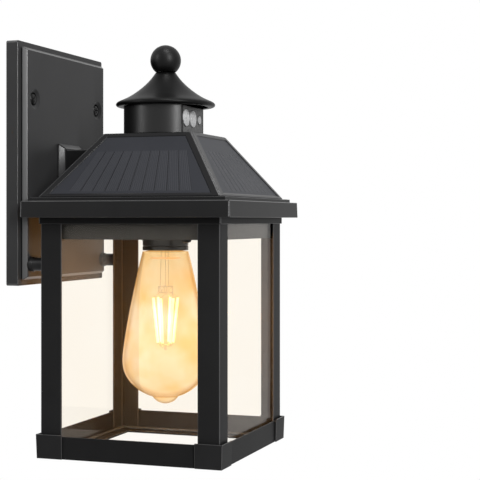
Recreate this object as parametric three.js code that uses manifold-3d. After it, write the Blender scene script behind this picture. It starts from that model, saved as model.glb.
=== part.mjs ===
// Outdoor wall lantern with a motion-sensor head. Millimetres, +Z up.
// The wall is the plane y = 0 with the origin behind the middle of the back plate.
// The lantern stands out from the wall toward -Y.

import * as THREE from 'three';
import { mergeVertices } from 'three/addons/utils/BufferGeometryUtils.js';
import Module from 'manifold-3d';

const wasm = await Module();
wasm.setup();

// ---------- Driving dimensions ----------

const FIT = 0.3;              // clearance between pieces that rest on or pass through each other

// Cage: L-section corner posts between a bottom frame and a top frame
const CAGE_HALF = 67.8;       // lantern axis to a post's outer face
const CAGE_H = 171;           // bottom frame's underside to the eave's underside
const EAVE_DROP = 39;         // middle of the back plate down to the eave's underside
const POST_W = 16.3;
const POST_T = 1.2;
const FRAME_T = 0.9;          // sheet of the bottom and top frames
const BOTTOM_FRAME_H = 16.2;
const BOTTOM_FLANGE = 14;     // frame's outer face in to the edge of the opening
const BOTTOM_FLANGE_T = 1.6;
const TOP_BAND = 4.6;         // part of the top frame that shows below the eave
const TOP_TAB_T = 1.5;
const CAP_LEG = 19.8;
const CAP_H = 17.2;
const CAP_T = 0.7;            // wall of a corner cap at its foot
const CAP_FLARE = 0.5;        // extra wall at its rim
const GLASS_T = 2;
const BEAD = 1.8;

// Eave and roof
const EAVE_OVERHANG = 11.1;   // post's outer face to the fascia's lower edge
const FASCIA_H = 11.6;
const FASCIA_T = 1.8;
const FASCIA_LEAN = 0.5;      // how far the fascia's top edge is set in from its lower edge
const LEDGE_IN = 4.6;         // fascia's top edge in to the ledge
const LEDGE_H = 2.5;
const EAVE_TOP_T = 1.6;
const CLAMP_IN = 13.8;        // post's outer face in to the inner edge of the clamped flanges
const ROOF_OUT = 1.3;         // post's outer face out to the roof's lower edge
const ROOF_H = 46.5;
const ROOF_T = 1.4;
const RIB_W = 5.4;            // raised border along each hip
const RIB_TOP = 2.2;
const RIB_FOOT = 1.5;
const RIB_H = 0.7;

// Sensor head, cap and finial
const HEAD_R = 31;
const HEAD_H = 22.6;
const HEAD_T = 1.6;
const HEAD_WIRE_R = 4;        // wire hole through the roof's top into the head
const HEAD_WIRE_X = 12;
const HEAD_STEP = 3.2;        // head's wall in from the roof's upper edge
const WINDOW_T = 2;
const LENS_R = HEAD_R / 5;
const LENS_GAP = 1.1;         // between the two large lenses
const LENS_EDGE = 2.5;        // rim of a large lens to the edge of the window
const LENS_PROUD = 1.9;
const SMALL_LENS_R = 3.1;
const SMALL_LENS_PROUD = 1;
const LENS_DROP = 9.2;        // brim's underside down to the lens centres
const BRIM_OVER = 5.9;        // head's wall to the brim's edge
const BRIM_T = 4.2;
const CONE_H = 25.8;          // brim's underside to the neck
const CONE_T = 1.6;
const NECK_R = 7.4;
const BALL_R = 11.4;
const ROD_R = 2.9;

// Tray, bridge, lampholder and bulb
const TRAY_DROP = 11;         // top frame's lower edge down to the tray's underside
const TRAY_T = 1.1;
const TRAY_LIP = 2.6;
const BRIDGE_W = 16;
const BRIDGE_T = 2;
const HOLDER_WALL = 2.4;
const HOLDER_ROOM = 1.6;      // bulb cap's side to the lampholder's bore, which the shell fills
const HOLDER_PROUD = 8.6;     // part of the lampholder that shows below the tray
const NIPPLE_R = 4.9;
const NIPPLE_BORE = 3.4;
const BULB_R = 32;
const BULB_L = 142;           // tip contact to the pip of the glass
const BULB_CAP_R = 13;
const BULB_CAP_L = 25;
const GLASS_WALL = 0.9;

// Back plate, arm and spacers
const PLATE_H = 176;
const PLATE_EDGE = 10.7;      // centre of a spacer out to the plate's edge
const PLATE_BASE = 9.4;       // depth of the outer step
const PLATE_RISE = 4.6;       // raised face above the step
const PLATE_STEP = 3.8;       // width of the step
const FACE_BEVEL = 2;
const PLATE_T = 1.8;
const GASKET_W = 4.2;
const EAVE_GAP = 1.9;         // raised face of the plate to the eave's rear edge
const WALL_SCREW_X = 52;
const WALL_SCREW_Z = 47;
const BRACKET_T = 2;
const SPACER_Z = 15.4;        // plate's lower edge up to the spacers
const SPACER_R = 4.8;
const SPACER_PIN_R = 2;       // pin on the spacer's end, in a hole of the post
const COLLAR_R = 5.4;
const COLLAR_T = 2.8;
const SPACER_IN = 9;          // post's outer face in to the spacer's axis
const ARM_HALF = 13;
const ARM_BELOW_ROOF_TOP = 9.7;
const ARM_ABOVE_ROOF_FOOT = 4.6;
const ARM_WALL = 2.6;
const ARM_END = 8;            // solid end of the arm against the roof
const ARM_THICK = 6.6;        // its upper and lower walls, which take the screws
const ARM_WIRE_R = 4.2;       // wire hole through the arm's solid end
const FOOT_OUT = 4.3;
const FOOT_T = 4;

// ---------- Sizes that follow ----------

const EAVE_Z = -EAVE_DROP;
const CAGE_Z = EAVE_Z - CAGE_H;
const FASCIA_TOP_Z = EAVE_Z + FASCIA_H;
const ROOF_Z = FASCIA_TOP_Z + LEDGE_H + FIT;
const ROOF_TOP_Z = ROOF_Z + ROOF_H;
const EAVE_HALF = CAGE_HALF + EAVE_OVERHANG;
const ROOF_HALF = CAGE_HALF + ROOF_OUT;
const ROOF_TOP_HALF = HEAD_R + HEAD_STEP;
const CLAMP_HALF = CAGE_HALF - CLAMP_IN;
const SCREW_XY = (CAGE_HALF + CLAMP_HALF) / 2 - 2;
const FRAME_HALF = CAGE_HALF + FIT + FRAME_T;
const GLASS_HALF = CAGE_HALF - POST_T - FIT;
const TRAY_HALF = GLASS_HALF - GLASS_T - FIT;
const EAVE_TOP_Z = FASCIA_TOP_Z + LEDGE_H;
const EAVE_SHELF_Z = EAVE_TOP_Z - EAVE_TOP_T;
const TAB_Z = EAVE_SHELF_Z - FIT - TOP_TAB_T;
const TOP_FRAME_Z = EAVE_Z - TOP_BAND;
const TRAY_Z = TOP_FRAME_Z - TRAY_DROP;
const BRIDGE_Z = TAB_Z - FIT - BRIDGE_T;
const HOLDER_Z = TRAY_Z - HOLDER_PROUD;
const HOLDER_TOP_Z = BRIDGE_Z - FIT;
const HOLDER_ROOF = 3;
const BULB_TOP_Z = HOLDER_TOP_Z - HOLDER_ROOF - 1.1;
const HEAD_Z = ROOF_TOP_Z + FIT;
const BRIM_Z = ROOF_TOP_Z + HEAD_H - 1.6;
const NECK_Z = BRIM_Z + CONE_H;
const BALL_Z = NECK_Z + FIT + Math.sqrt(BALL_R ** 2 - NECK_R ** 2);
const LENS_Z = BRIM_Z - LENS_DROP;
const PLATE_Y = -PLATE_BASE;
const FACE_Y = PLATE_Y - PLATE_RISE;
const REACH = -FACE_Y + EAVE_GAP + EAVE_HALF;
const SPACER_X = CAGE_HALF - SPACER_IN;
const PLATE_HALF = SPACER_X + PLATE_EDGE;
const SPACER_LEVEL = SPACER_Z - PLATE_H / 2;
const ARM_TOP_Z = ROOF_TOP_Z - ARM_BELOW_ROOF_TOP;
const ARM_Z = ROOF_Z + ARM_ABOVE_ROOF_FOOT;
const ARM_MID_Z = (ARM_TOP_Z + ARM_Z) / 2;
const HOLDER_BORE = BULB_CAP_R + HOLDER_ROOM;
const HOLDER_R = HOLDER_BORE + HOLDER_WALL;
const LENS_PITCH = LENS_R * 2 + LENS_GAP;
// Lantern axis to the window's flat face, as far out as the window is wide enough for the lenses.
const WINDOW_D = Math.sqrt(HEAD_R ** 2 - (LENS_PITCH + LENS_R + LENS_EDGE) ** 2);
const SLOPE_RUN = ROOF_HALF - ROOF_TOP_HALF;
const SLOPE_L = Math.hypot(SLOPE_RUN, ROOF_H);

// ---------- Solids ----------

// A closed three.js geometry becomes a solid that can be joined and cut.
function solid(geometry) {
  const bare = geometry.clone();
  bare.deleteAttribute('normal');
  bare.deleteAttribute('uv');
  const merged = mergeVertices(bare, 1e-4);
  const index = Array.from(merged.index.array);
  const triangles = [];
  for (let i = 0; i < index.length; i += 3) {
    const [a, b, c] = index.slice(i, i + 3);
    if (a !== b && b !== c && c !== a) triangles.push(a, b, c);
  }
  const mesh = new wasm.Mesh({
    numProp: 3,
    vertProperties: new Float32Array(merged.attributes.position.array),
    triVerts: new Uint32Array(triangles),
  });
  return new wasm.Manifold(mesh);
}

function join(...solids) {
  return solids.reduce((sum, next) => sum.add(next));
}

function cut(body, ...tools) {
  return tools.reduce((rest, tool) => rest.subtract(tool), body);
}

// A six-faced solid: place() gives the corner for each sign of x, y and z.
function sixFaced(place) {
  const geometry = new THREE.BoxGeometry(2, 2, 2);
  const corners = geometry.attributes.position;
  for (let i = 0; i < corners.count; i += 1) {
    corners.setXYZ(i, ...place(corners.getX(i), corners.getY(i), corners.getZ(i)));
  }
  return solid(geometry);
}

function block(x0, x1, y0, y1, z0, z1) {
  const between = (low, high, side) => (side < 0 ? low : high);
  return sixFaced((x, y, z) => [between(x0, x1, x), between(y0, y1, y), between(z0, z1, z)]);
}

// A square tower about the line x = 0, y = middle, with its own half-width at each end.
function tower(half0, half1, z0, z1, middle = 0) {
  return sixFaced((x, y, z) => {
    const half = z < 0 ? half0 : half1;
    return [x * half, middle + y * half, z < 0 ? z0 : z1];
  });
}

function squareRing(outer, inner, z0, z1) {
  return cut(tower(outer, outer, z0, z1), tower(inner, inner, z0 - 1, z1 + 1));
}

// A [radius, height] outline, listed up its outer side, turned about Z.
function turned(outline, segments = 24) {
  const points = outline.map(([r, z]) => new THREE.Vector2(r, z));
  const geometry = new THREE.LatheGeometry(points, segments);
  return solid(geometry.rotateX(Math.PI / 2));
}

function rodZ(r, z0, z1, x = 0, y = 0, segments = 20) {
  const geometry = new THREE.CylinderGeometry(r, r, z1 - z0, segments);
  return solid(geometry.rotateX(Math.PI / 2).translate(x, y, (z0 + z1) / 2));
}

function rodY(r, y0, y1, x = 0, z = 0, segments = 20) {
  const geometry = new THREE.CylinderGeometry(r, r, y1 - y0, segments);
  return solid(geometry.translate(x, (y0 + y1) / 2, z));
}

function pipe(outer, inner, z0, z1, segments = 24) {
  return turned([[inner, z0], [outer, z0], [outer, z1], [inner, z1], [inner, z0]], segments);
}

function hexNut(r, bore, z0, z1, x = 0, y = 0) {
  const hex = new THREE.CylinderGeometry(r, r, z1 - z0, 6);
  const body = solid(hex.rotateX(Math.PI / 2).translate(x, y, (z0 + z1) / 2));
  return cut(body, rodZ(bore, z0 - 1, z1 + 1, x, y, 12));
}

// A pan-head screw along Z with a cross recess; the head is at z0 and the shank runs to z1.
function screwZ(shank, head, headH, z0, z1, x = 0, y = 0) {
  const up = Math.sign(z1 - z0);
  const under = z0 + up * headH;
  const [h0, h1] = [Math.min(z0, under), Math.max(z0, under)];
  const [s0, s1] = [Math.min(under - up * 0.5, z1), Math.max(under - up * 0.5, z1)];
  const deep = z0 + up * headH * 0.5;
  const [c0, c1] = [Math.min(z0 - up, deep), Math.max(z0 - up, deep)];
  const long = head * 0.55;
  const thin = head * 0.14;
  return cut(
    join(rodZ(head, h0, h1, x, y, 14), rodZ(shank, s0, s1, x, y, 8)),
    block(x - long, x + long, y - thin, y + thin, c0, c1),
    block(x - thin, x + thin, y - long, y + long, c0, c1),
  );
}

// The same screw along Y.
function screwY(shank, head, headH, y0, y1, x, z) {
  const back = Math.sign(y1 - y0);
  const under = y0 + back * headH;
  const [h0, h1] = [Math.min(y0, under), Math.max(y0, under)];
  const [s0, s1] = [Math.min(under - back * 0.5, y1), Math.max(under - back * 0.5, y1)];
  const deep = y0 + back * headH * 0.5;
  const [c0, c1] = [Math.min(y0 - back, deep), Math.max(y0 - back, deep)];
  const long = head * 0.55;
  const thin = head * 0.14;
  return cut(
    join(rodY(head, h0, h1, x, z, 14), rodY(shank, s0, s1, x, z, 8)),
    block(x - long, x + long, c0, c1, z - thin, z + thin),
    block(x - thin, x + thin, c0, c1, z - long, z + long),
  );
}

// ---------- Scene graph ----------

const BLACK = { color: 0x17181a, roughness: 0.45, metalness: 0.2 };
const STEEL = { color: 0xb9bcc0, roughness: 0.35, metalness: 0.9 };
const BRASS = { color: 0xc9a253, roughness: 0.35, metalness: 0.9 };
const PLASTIC = { color: 0x141414, roughness: 0.5, metalness: 0 };
const CLEAR = { color: 0xe8eef0, roughness: 0.05, metalness: 0, transparent: true, opacity: 0.3 };
const AMBER = { color: 0xf0c070, roughness: 0.05, metalness: 0, transparent: true, opacity: 0.4 };
const FOAM = { color: 0x2b2b2b, roughness: 0.95, metalness: 0 };
const LENS = { color: 0xcfd2d4, roughness: 0.4, metalness: 0 };

const hands = [[-1, 'left'], [1, 'right']];
const levels = ['lower', 'upper'];

const part = new THREE.Group();
const lantern = new THREE.Group();
lantern.position.y = -REACH;
part.add(lantern);

function piece(group, name, body, look) {
  const { vertProperties, triVerts } = body.getMesh();
  const geometry = new THREE.BufferGeometry();
  geometry.setAttribute('position', new THREE.BufferAttribute(vertProperties, 3));
  geometry.setIndex(new THREE.BufferAttribute(triVerts, 1));
  geometry.computeVertexNormals();
  const mesh = new THREE.Mesh(geometry, new THREE.MeshStandardMaterial(look));
  mesh.name = name;
  group.add(mesh);
}

// ---------- Back plate and what fixes it ----------

// A plate-shaped slab about the Y axis, bevelled toward the front.
function slab(halfX0, halfZ0, y0, halfX1, halfZ1, y1) {
  return sixFaced((x, y, z) => {
    const rear = y > 0;
    return [x * (rear ? halfX0 : halfX1), rear ? y0 : y1, z * (rear ? halfZ0 : halfZ1)];
  });
}

const halfH = PLATE_H / 2;
const faceIn = PLATE_STEP + FACE_BEVEL;
const pocketY = FACE_Y + PLATE_T;
const rimPocketY = PLATE_Y + PLATE_T;
const boss = { r: 9.4, depth: 5 };
const recess = { r: 4.9, wide: 7.6, lead: 1.4, deep: 3.6 };
const wallScrew = { r: 2, hole: 2.4, head: 4.4, headH: 2.6, end: -0.6 };
const armScrew = { r: 1.6, hole: 2.2, tapped: 1.9, head: 3.3, headH: 2.4, deep: 12 };
const spacerScrew = { r: 1.3, hole: 1.8, tapped: 1.6, head: 2.8, headH: 2, deep: 8 };
const wireHoleR = 7;
const pocketIn = faceIn + PLATE_T;

function backPlate() {
  const slabs = join(
    slab(PLATE_HALF, halfH, 0, PLATE_HALF, halfH, PLATE_Y),
    slab(PLATE_HALF - PLATE_STEP, halfH - PLATE_STEP, PLATE_Y + 0.5,
      PLATE_HALF - faceIn, halfH - faceIn, FACE_Y),
  );
  const rim = PLATE_T;
  const hollow = join(
    slab(PLATE_HALF - rim, halfH - rim, 1, PLATE_HALF - rim, halfH - rim, rimPocketY),
    slab(PLATE_HALF - pocketIn, halfH - pocketIn, 1, PLATE_HALF - pocketIn, halfH - pocketIn, pocketY),
  );
  let plate = cut(slabs, hollow);
  for (const side of [-1, 1]) {
    const x = side * WALL_SCREW_X;
    plate = plate.add(rodY(boss.r, FACE_Y + 0.5, -boss.depth, x, WALL_SCREW_Z, 12));
    const lead = new THREE.CylinderGeometry(recess.r, recess.wide, recess.lead, 24);
    plate = cut(
      plate,
      solid(lead.translate(x, FACE_Y + recess.lead / 2 - 0.01, WALL_SCREW_Z)),
      rodY(recess.r, FACE_Y - 1, FACE_Y + recess.deep, x, WALL_SCREW_Z, 24),
      rodY(wallScrew.hole, FACE_Y, 0, x, WALL_SCREW_Z, 12),
      rodY(spacerScrew.hole, FACE_Y - 1, 0, side * SPACER_X, SPACER_LEVEL, 12),
    );
  }
  const armScrewHoles = armScrewLevels.map((z) => rodY(armScrew.hole, FACE_Y - 1, 0, 0, z, 12));
  return cut(plate, rodY(wireHoleR, FACE_Y - 1, 0, 0, ARM_MID_Z, 24), ...armScrewHoles);
}

const armScrewLevels = [ARM_Z + ARM_THICK / 2, ARM_TOP_Z - ARM_THICK / 2];

function gasket() {
  const outX = PLATE_HALF - PLATE_T - FIT;
  const outZ = halfH - PLATE_T - FIT;
  const [y0, y1] = [-FIT, rimPocketY + FIT];
  return cut(
    slab(outX, outZ, y0, outX, outZ, y1),
    slab(outX - GASKET_W, outZ - GASKET_W, y0 + 1, outX - GASKET_W, outZ - GASKET_W, y1 - 1),
  );
}

const earthScrew = { r: 1.8, head: 3.6, headH: 2.2, z: 12, end: -0.6 };

function bracket() {
  const [y0, y1] = [-FIT - BRACKET_T, -FIT];
  const barHalf = 8;
  const legFoot = -52;
  const barEnd = WALL_SCREW_X + 6.5;
  const boxScrew = 44.5;
  const boxScrewR = 2.6;
  const slotL = 12;
  const wireR = 5;
  const wireZ = -8;
  const top = join(
    block(-barEnd, barEnd, y0, y1, WALL_SCREW_Z - barHalf, WALL_SCREW_Z + barHalf),
    block(-barHalf, barHalf, y0, y1, legFoot, WALL_SCREW_Z),
  );
  return cut(
    top,
    rodY(wallScrew.hole, y0 - 1, y1 + 1, -WALL_SCREW_X, WALL_SCREW_Z, 12),
    rodY(wallScrew.hole, y0 - 1, y1 + 1, WALL_SCREW_X, WALL_SCREW_Z, 12),
    rodY(boxScrewR, y0 - 1, y1 + 1, 0, boxScrew, 12),
    rodY(earthScrew.r + FIT, y0 - 1, y1 + 1, 0, earthScrew.z, 12),
    rodY(wireR, y0 - 1, y1 + 1, 0, wireZ, 24),
    block(-boxScrewR, boxScrewR, y0 - 1, y1 + 1, -boxScrew, -boxScrew + slotL),
  );
}

piece(part, 'back_plate', backPlate(), BLACK);
piece(part, 'wall_gasket', gasket(), FOAM);
piece(part, 'wall_bracket', bracket(), STEEL);
const earthHeadY = -FIT - BRACKET_T - FIT - earthScrew.headH;
piece(
  part,
  'earth_screw',
  screwY(earthScrew.r, earthScrew.head, earthScrew.headH, earthHeadY, earthScrew.end, 0, earthScrew.z),
  BRASS,
);

const wallScrewHeadY = FACE_Y + recess.deep - FIT - wallScrew.headH;
for (const [side, hand] of hands) {
  const { r, head, headH, end } = wallScrew;
  const screw = screwY(r, head, headH, wallScrewHeadY, end, side * WALL_SCREW_X, WALL_SCREW_Z);
  piece(part, `wall_screw_${hand}`, screw, BLACK);
}

// ---------- Arm ----------

// The roof's outer slopes, grown outward by a horizontal amount and extended past both ends.
function roofSlopes(grow, past = 0, middle = 0) {
  const rate = SLOPE_RUN / ROOF_H;
  return tower(
    ROOF_HALF + grow + past * rate,
    ROOF_TOP_HALF + grow - past * rate,
    ROOF_Z - past,
    ROOF_TOP_Z + past,
    middle,
  );
}

const armRootY = FACE_Y - FIT;
const slopeGap = (FIT * SLOPE_L) / ROOF_H;
// Unit vector out of the roof's rear slope, and the tilt that turns +Z onto it.
const outY = ROOF_H / SLOPE_L;
const outZ = SLOPE_RUN / SLOPE_L;
const slopeTilt = -Math.atan2(outY, outZ);
const slopeScrewRise = (ARM_TOP_Z - ARM_Z) * 0.295;
const slopeScrewLevels = [ARM_MID_Z - slopeScrewRise, ARM_MID_Z + slopeScrewRise];
const slopeScrewOut = 6;
const slopeY = (z) => -REACH + ROOF_HALF - ((z - ROOF_Z) * SLOPE_RUN) / ROOF_H;

// A rod through the rear slope at height z, from a depth inside to a height outside.
function slopeRod(r, z, inside, outside, segments = 16) {
  const geometry = new THREE.CylinderGeometry(r, r, inside + outside, segments);
  geometry.rotateX(Math.PI / 2).translate(0, 0, (outside - inside) / 2);
  geometry.rotateX(slopeTilt).translate(0, slopeY(z), z);
  return solid(geometry);
}

function arm() {
  const bar = block(-ARM_HALF, ARM_HALF, -REACH, armRootY, ARM_Z, ARM_TOP_Z);
  const foot = sixFaced((x, y, z) => {
    const out = y > 0 ? FOOT_OUT : 0.2;
    const level = z < 0 ? ARM_Z - out : ARM_TOP_Z + out;
    return [x * (ARM_HALF + out), y > 0 ? armRootY : armRootY - FOOT_T, level];
  });
  const duct = cut(
    block(-ARM_HALF + ARM_WALL, ARM_HALF - ARM_WALL, -REACH, 0, ARM_Z + ARM_THICK, ARM_TOP_Z - ARM_THICK),
    roofSlopes(slopeGap + (ARM_END * SLOPE_L) / ROOF_H, 12, -REACH),
  );
  const tappedEndY = armRootY - armScrew.deep;
  const rootScrews = armScrewLevels.map((z) => rodY(armScrew.tapped, tappedEndY, 0, 0, z, 12));
  return cut(
    join(bar, foot),
    roofSlopes(slopeGap, 12, -REACH),
    duct,
    rodY(ARM_WIRE_R, -REACH, tappedEndY, 0, ARM_MID_Z, 24),
    ...rootScrews,
    ...slopeScrewLevels.map((z) => slopeRod(armScrew.tapped, z, 1, slopeScrewOut + 0.5)),
  );
}

piece(part, 'arm', arm(), BLACK);
levels.forEach((level, i) => {
  const { r, head, headH, deep } = armScrew;
  const headY = pocketY + FIT + headH;
  const rootScrew = screwY(r, head, headH, headY, armRootY - deep + 1, 0, armScrewLevels[i]);
  piece(part, `arm_root_screw_${level}`, rootScrew, STEEL);
  const z = slopeScrewLevels[i];
  const under = ROOF_T + FIT;
  const roofScrew = join(
    slopeRod(r, z, under + 0.5, slopeScrewOut, 12),
    slopeRod(head, z, under + headH, -under, 20),
  );
  piece(part, `arm_roof_screw_${level}`, roofScrew, STEEL);
});

// ---------- Spacers low on the plate ----------

const postRearY = -REACH + CAGE_HALF;
for (const [side, hand] of hands) {
  const x = side * SPACER_X;
  const rear = FACE_Y - FIT;
  const collar = new THREE.CylinderGeometry(COLLAR_R, COLLAR_R, COLLAR_T - 1, 24);
  const lip = new THREE.CylinderGeometry(COLLAR_R, COLLAR_R - 0.6, 0.6, 24);
  const { r, tapped, head, headH, deep } = spacerScrew;
  const body = join(
    solid(collar.translate(x, rear - (COLLAR_T - 1) / 2, SPACER_LEVEL)),
    solid(lip.translate(x, rear - (COLLAR_T - 1) - 0.3, SPACER_LEVEL)),
    rodY(SPACER_R, postRearY + FIT, rear - 0.5, x, SPACER_LEVEL, 24),
    rodY(SPACER_PIN_R, postRearY - POST_T, rear - 1, x, SPACER_LEVEL, 12),
  );
  piece(part, `spacer_${hand}`, cut(body, rodY(tapped, rear - deep, 0, x, SPACER_LEVEL, 12)), BLACK);
  const screw = screwY(r, head, headH, pocketY + FIT + headH, rear - deep + 1, x, SPACER_LEVEL);
  piece(part, `spacer_screw_${hand}`, screw, STEEL);
}

// ---------- Cage ----------

const corners = [
  ['front_left', -1, -1],
  ['front_right', 1, -1],
  ['rear_left', -1, 1],
  ['rear_right', 1, 1],
];

// A block in one corner quadrant, given by its distances from the axis.
function quadrant(sx, sy, x0, x1, y0, y1, z0, z1) {
  const [xa, xb] = [sx * x0, sx * x1].sort((a, b) => a - b);
  const [ya, yb] = [sy * y0, sy * y1].sort((a, b) => a - b);
  return block(xa, xb, ya, yb, z0, z1);
}

const postZ = CAGE_Z + BOTTOM_FLANGE_T + FIT;
const postTopZ = TAB_Z + TOP_TAB_T;
const tabHoleR = 2.2;

for (const [place, sx, sy] of corners) {
  const inner = CAGE_HALF - POST_W;
  const web = CAGE_HALF - POST_T;
  let post = join(
    quadrant(sx, sy, web, CAGE_HALF, inner, CAGE_HALF, postZ, postTopZ),
    quadrant(sx, sy, inner, CAGE_HALF, web, CAGE_HALF, postZ, postTopZ),
    quadrant(sx, sy, inner, CAGE_HALF, inner, CAGE_HALF, TAB_Z, postTopZ),
  );
  post = cut(post, rodZ(tabHoleR, TAB_Z - 1, postTopZ + 1, sx * SCREW_XY, sy * SCREW_XY, 12));
  if (sy > 0) {
    const pinR = SPACER_PIN_R + FIT;
    post = cut(post, rodY(pinR, CAGE_HALF - 3, CAGE_HALF + 1, sx * SPACER_X, SPACER_LEVEL, 12));
  }
  piece(lantern, `post_${place}`, post, BLACK);
}

// Tapered sleeves round the corners of the bottom frame, open on their two inner sides.
for (const [place, sx, sy] of corners) {
  const inside = FRAME_HALF + FIT;
  const open = FRAME_HALF + FIT + CAP_T - CAP_LEG;
  const sleeve = sixFaced((x, y, z) => {
    const outside = inside + CAP_T + (z > 0 ? CAP_FLARE : 0);
    const far = (side, sign) => (side * sign > 0 ? sign * outside : sign * open);
    return [far(x, sx), far(y, sy), z > 0 ? CAGE_Z + CAP_H : CAGE_Z];
  });
  const room = quadrant(sx, sy, open - 5, inside, open - 5, inside, CAGE_Z - 1, CAGE_Z + CAP_H + 1);
  piece(lantern, `corner_cap_${place}`, cut(sleeve, room), BLACK);
}

const bottomFrame = join(
  squareRing(FRAME_HALF, FRAME_HALF - FRAME_T, CAGE_Z, CAGE_Z + BOTTOM_FRAME_H),
  squareRing(FRAME_HALF, FRAME_HALF - BOTTOM_FLANGE, CAGE_Z, CAGE_Z + BOTTOM_FLANGE_T),
);
piece(lantern, 'bottom_frame', bottomFrame, BLACK);
piece(
  lantern,
  'top_frame',
  squareRing(FRAME_HALF, FRAME_HALF - FRAME_T, TOP_FRAME_Z, EAVE_SHELF_Z - FIT),
  BLACK,
);

// Panes stand behind the posts, on the bottom frame's flange.
const paneZ = CAGE_Z + BOTTOM_FLANGE_T + FIT;
const paneTopZ = TAB_Z - FIT;
const paneIn = GLASS_HALF - GLASS_T;
const sides = [
  ['front', -1, true],
  ['rear', 1, true],
  ['left', -1, false],
  ['right', 1, false],
];
for (const [place, sign, acrossX] of sides) {
  const long = acrossX ? GLASS_HALF : paneIn - FIT;
  const [near, far] = [sign * paneIn, sign * GLASS_HALF].sort((a, b) => a - b);
  const pane = acrossX
    ? block(-long, long, near, far, paneZ, paneTopZ)
    : block(near, far, -long, long, paneZ, paneTopZ);
  piece(lantern, `pane_${place}`, pane, CLEAR);
}
const beadOut = paneIn - FIT;
piece(lantern, 'glazing_bead', squareRing(beadOut, beadOut - BEAD, paneZ, paneZ + BEAD), PLASTIC);

// ---------- Eave and roof ----------

function eave() {
  const leanIn = EAVE_HALF - FASCIA_LEAN;
  const ledgeHalf = leanIn - LEDGE_IN;
  const shell = join(
    tower(EAVE_HALF, leanIn, EAVE_Z, FASCIA_TOP_Z),
    tower(ledgeHalf, ledgeHalf, FASCIA_TOP_Z - 1, EAVE_TOP_Z),
  );
  const under = join(
    tower(EAVE_HALF - FASCIA_T, leanIn - FASCIA_T, EAVE_Z - 1, FASCIA_TOP_Z - EAVE_TOP_T),
    tower(ledgeHalf - EAVE_TOP_T, ledgeHalf - EAVE_TOP_T, EAVE_Z, EAVE_SHELF_Z),
  );
  return cut(shell, under, tower(CLAMP_HALF, CLAMP_HALF, EAVE_Z, EAVE_TOP_Z + 1), ...clampHoles());
}

// The screws at the four corners, through the bridge's ends, the posts' tabs and the eave.
const clampScrew = { r: 1.8, head: 3.6, headH: 2.3 };
function clampHoles() {
  return corners.map(([, sx, sy]) => (
    rodZ(clampScrew.r + FIT, BRIDGE_Z - 5, ROOF_Z + ROOF_T + 3, sx * SCREW_XY, sy * SCREW_XY, 16)
  ));
}

function roof() {
  const rate = SLOPE_RUN / ROOF_H;
  const halfAt = (z) => ROOF_HALF - (z - ROOF_Z) * rate;
  const [z0, z1] = [ROOF_Z + RIB_FOOT, ROOF_TOP_Z - RIB_TOP];
  const [h0, h1] = [halfAt(z0) - RIB_W, halfAt(z1) - RIB_W];
  const wide = ROOF_HALF * 2;
  const panelX = sixFaced((x, y, z) => [x * wide, y * (z < 0 ? h0 : h1), z < 0 ? z0 : z1]);
  const panelY = sixFaced((x, y, z) => [x * (z < 0 ? h0 : h1), y * wide, z < 0 ? z0 : z1]);
  const border = cut(tower(ROOF_HALF + RIB_H, ROOF_TOP_HALF + RIB_H, ROOF_Z, ROOF_TOP_Z), panelX, panelY);
  const wall = (ROOF_T * SLOPE_L) / ROOF_H;
  const hollow = tower(ROOF_HALF - wall, halfAt(ROOF_TOP_Z - ROOF_T) - wall, ROOF_Z, ROOF_TOP_Z - ROOF_T);
  const flange = squareRing(ROOF_HALF - 1, CLAMP_HALF, ROOF_Z, ROOF_Z + ROOF_T);
  const skin = cut(
    join(tower(ROOF_HALF, ROOF_TOP_HALF, ROOF_Z, ROOF_TOP_Z), border),
    hollow,
    rodZ(ROD_R + FIT, ROOF_TOP_Z - 5, ROOF_TOP_Z + 1),
    rodZ(HEAD_WIRE_R, ROOF_TOP_Z - 5, ROOF_TOP_Z + 1, HEAD_WIRE_X, 0),
  );
  return cut(join(skin, flange), ...clampHoles());
}

piece(lantern, 'eave', eave(), BLACK);
const slopeTools = [
  slopeRod(ARM_WIRE_R + 0.8, ARM_MID_Z, 6, 6, 24),
  ...slopeScrewLevels.map((z) => slopeRod(armScrew.r + FIT, z, 6, 6)),
].map((tool) => tool.translate([0, REACH, 0]));
piece(lantern, 'roof', cut(roof(), ...slopeTools), BLACK);

for (const [place, sx, sy] of corners) {
  const { r, head, headH } = clampScrew;
  const headZ = BRIDGE_Z - FIT - headH;
  const screw = screwZ(r, head, headH, headZ, ROOF_Z + ROOF_T + 2, sx * SCREW_XY, sy * SCREW_XY);
  piece(lantern, `clamp_screw_${place}`, screw, STEEL);
}

// ---------- Bridge, tray and lampholder ----------

// A cross of two diagonal straps, clamped at the four corners, that carries the lampholder.
const trayScrewX = 28;
const trayScrew = { r: 1.7, hole: 2, head: 3.5, headH: 2.2, past: 1.5 };
const strapEnd = (SCREW_XY + 4) * Math.SQRT2;
const straps = [45, 135].map((degrees) => {
  const geometry = new THREE.BoxGeometry(strapEnd * 2, BRIDGE_W, BRIDGE_T);
  geometry.rotateZ((degrees * Math.PI) / 180).translate(0, 0, BRIDGE_Z + BRIDGE_T / 2);
  return solid(geometry);
});
const trayScrewAt = hands.map(([side]) => [side * trayScrewX, side * trayScrewX]);
const bridgeRoom = tower(TRAY_HALF, TRAY_HALF, BRIDGE_Z - 1, BRIDGE_Z + BRIDGE_T + 1);
const bridge = cut(
  join(...straps).intersect(bridgeRoom),
  rodZ(NIPPLE_R + FIT, BRIDGE_Z - 1, BRIDGE_Z + BRIDGE_T + 1),
  ...trayScrewAt.map(([x, y]) => rodZ(trayScrew.hole, BRIDGE_Z - 1, BRIDGE_Z + BRIDGE_T + 1, x, y, 12)),
  ...clampHoles(),
);
piece(lantern, 'bridge', bridge, STEEL);

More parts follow.
